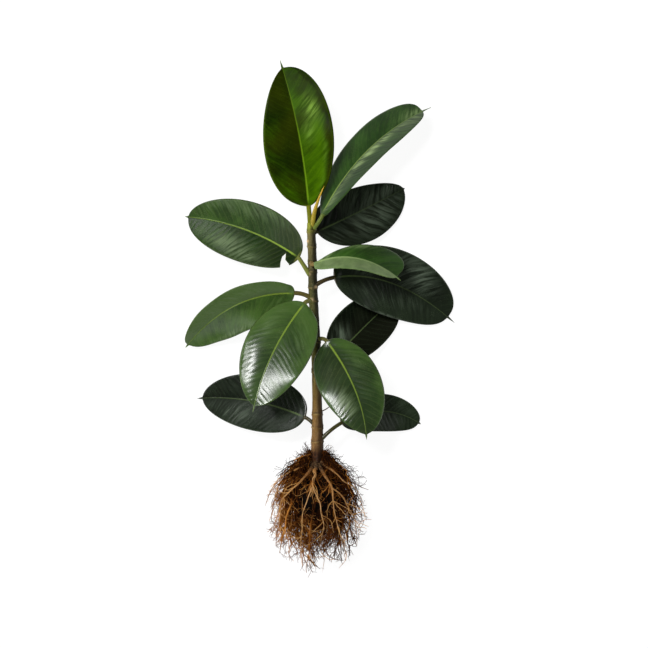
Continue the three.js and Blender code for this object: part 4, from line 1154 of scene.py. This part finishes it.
# The green colours darkened: painted shade for the low leaves that lie behind the others, used by the shaded
# looks
SHADED = dict(
    blade=(19, 28, 16), dark=(6, 12, 5), pale=(32, 44, 26), warm=(20, 22, 12), wax=(88, 100, 84),
    vein=(50, 62, 42), rib=(78, 94, 56), under=(84, 98, 72), petiole=(66, 72, 30), stalk=(60, 44, 28))
tissue = leaf_tissue_effect()
grain = grain_effect()
LOOKS = {
    "young": leaf_material(
        "young_leaf", tissue, gloss=0.24, shine=0.015, blade=(46, 76, 3), dark=(20, 34, 3), pale=(74, 114, 4),
        warm=(44, 52, 3), wax=(128, 164, 66), vein=(88, 120, 18), rib=(104, 140, 24), under=(96, 110, 50),
        petiole=(108, 112, 30), stalk=(88, 66, 38)),
    "green": leaf_material("green_leaf", tissue, gloss=0.15, shine=0.38, **GREEN),
    "calm": leaf_material("calm_green_leaf", tissue, gloss=0.2, shine=0.1, **GREEN),
    "satin": leaf_material(
        "satin_leaf", tissue, gloss=0.3, shine=0.12, blade=(32, 58, 18), dark=(14, 34, 9), pale=(52, 86, 28),
        warm=(32, 50, 17), wax=(144, 166, 110), vein=(86, 106, 56), rib=(126, 150, 70), under=(104, 122, 84),
        petiole=(98, 112, 46), stalk=(122, 96, 58)),
    "dark": leaf_material("shaded_leaf", tissue, gloss=0.2, shine=0.28, **SHADED),
    "deep": leaf_material("deep_shaded_leaf", tissue, gloss=0.2, shine=0.12, **SHADED),
}
SLOTS = {
    "young": "young_leaf", "green": "leaf", "calm": "leaf", "satin": "leaf", "dark": "shaded_leaf",
    "deep": "shaded_leaf"}
bark = stem_material(grain)
sheath_skin = shoot_material("sheath_skin", colour(150, 138, 40), colour(204, 160, 30), 0.45)
twig_skin = shoot_material("twig_skin", colour(70, 48, 26), colour(58, 40, 24), 0.8)
root_skin = root_material(grain)
fine_skin = fine_root_material()
heart_skin = heart_material()

for number, (node, leaf) in enumerate(LEAVES.items()):
    blade = grow_leaf(node, leaf, seed=100 + number)
    if node == "leaf_upper_left":
        tear_blade(blade)
    finish_piece(blade, LOOKS[leaf["look"]], SLOTS[leaf["look"]], node)
finish_piece(grow_stem(), bark, "stem", "stem")
finish_piece(
    grow_shoot("bud_sheath_surface", SHEATH, ridge=0.06, droop=1.3), sheath_skin, "sheath", "bud_sheath")
finish_piece(
    grow_shoot("side_twig_surface", TWIG, sides=12, rows=30, ridge=0.1), twig_skin, "twig", "side_twig")
for number, (node, root) in enumerate(ROOTS.items()):
    finish_piece(grow_main_root(node, root, seed=200 + number), root_skin, "main_root", node)
finish_piece(grow_heart(), heart_skin, "fine_roots", "fibrous_roots")
for piece in grow_fine_roots():
    finish_piece(piece, fine_skin, "fine_roots", "fibrous_roots")

# ---- stage, light and camera ----

VIEW_WIDTH = 0.81  # of the surface that the camera sees, at the depth of the stem
VIEW_MIDDLE = (0.00525, -0.0097)
CAMERA_HEIGHT = 4.0  # above the stem
SENSOR = 36.0

bpy.ops.mesh.primitive_plane_add(size=16)
floor = bpy.context.object
floor.name = "floor"
paper, sheet, shader = material("pale_paper")
place = sheet.node("ShaderNodeTexCoord").outputs["Object"]
sheet.set(shader.inputs["Base Color"],
          sheet.mix(sheet.noise(place, 3), (0.13, 0.13, 0.13, 1.0), (0.15, 0.15, 0.15, 1.0)))
shader.inputs["Roughness"].default_value = 0.9
shader.inputs["Specular IOR Level"].default_value = 0.1
shader.inputs["Emission Color"].default_value = (1.0, 1.0, 1.0, 1.0)
shader.inputs["Emission Strength"].default_value = 0.92
floor.data.materials.append(paper)


def soft_box(name, place, size, power, tint=(1.0, 1.0, 1.0)):
    lamp = bpy.data.lights.new(name, "AREA")
    lamp.shape = "RECTANGLE"
    lamp.size, lamp.size_y = size
    lamp.energy = power
    lamp.color = tint
    holder = bpy.data.objects.new(name, lamp)
    holder.location = place
    holder.rotation_euler = (Vector((0, 0, 0.05)) - Vector(place)).to_track_quat("-Z", "Y").to_euler()
    bpy.context.scene.collection.objects.link(holder)


soft_box("key", (-0.72, 0.86, 2.78), (0.75, 0.42), 52)
soft_box("left_bank", (-1.36, 0.98, 2.5), (0.5, 0.45), 15)
soft_box("left_fill", (-3.0, 0.4, 1.2), (1.6, 2.0), 46)
soft_box("right_fill", (3.0, 0.2, 1.4), (1.6, 2.0), 8)
soft_box("low_fill", (-0.4, -3.0, 1.3), (1.6, 0.9), 36)

world = bpy.data.worlds.new("studio")
world.use_nodes = True
world.node_tree.nodes["Background"].inputs["Color"].default_value = (1.0, 1.0, 1.0, 1.0)
world.node_tree.nodes["Background"].inputs["Strength"].default_value = 0.08
bpy.context.scene.world = world
bpy.context.scene.view_settings.view_transform = "Standard"

lens = bpy.data.cameras.new("camera")
lens.sensor_width = SENSOR
lens.lens = SENSOR * CAMERA_HEIGHT / VIEW_WIDTH
lens.clip_end = 20
camera = bpy.data.objects.new("camera", lens)
camera.location = (*VIEW_MIDDLE, STEM_DEPTH * MM + CAMERA_HEIGHT)
bpy.context.scene.collection.objects.link(camera)
bpy.context.scene.camera = camera
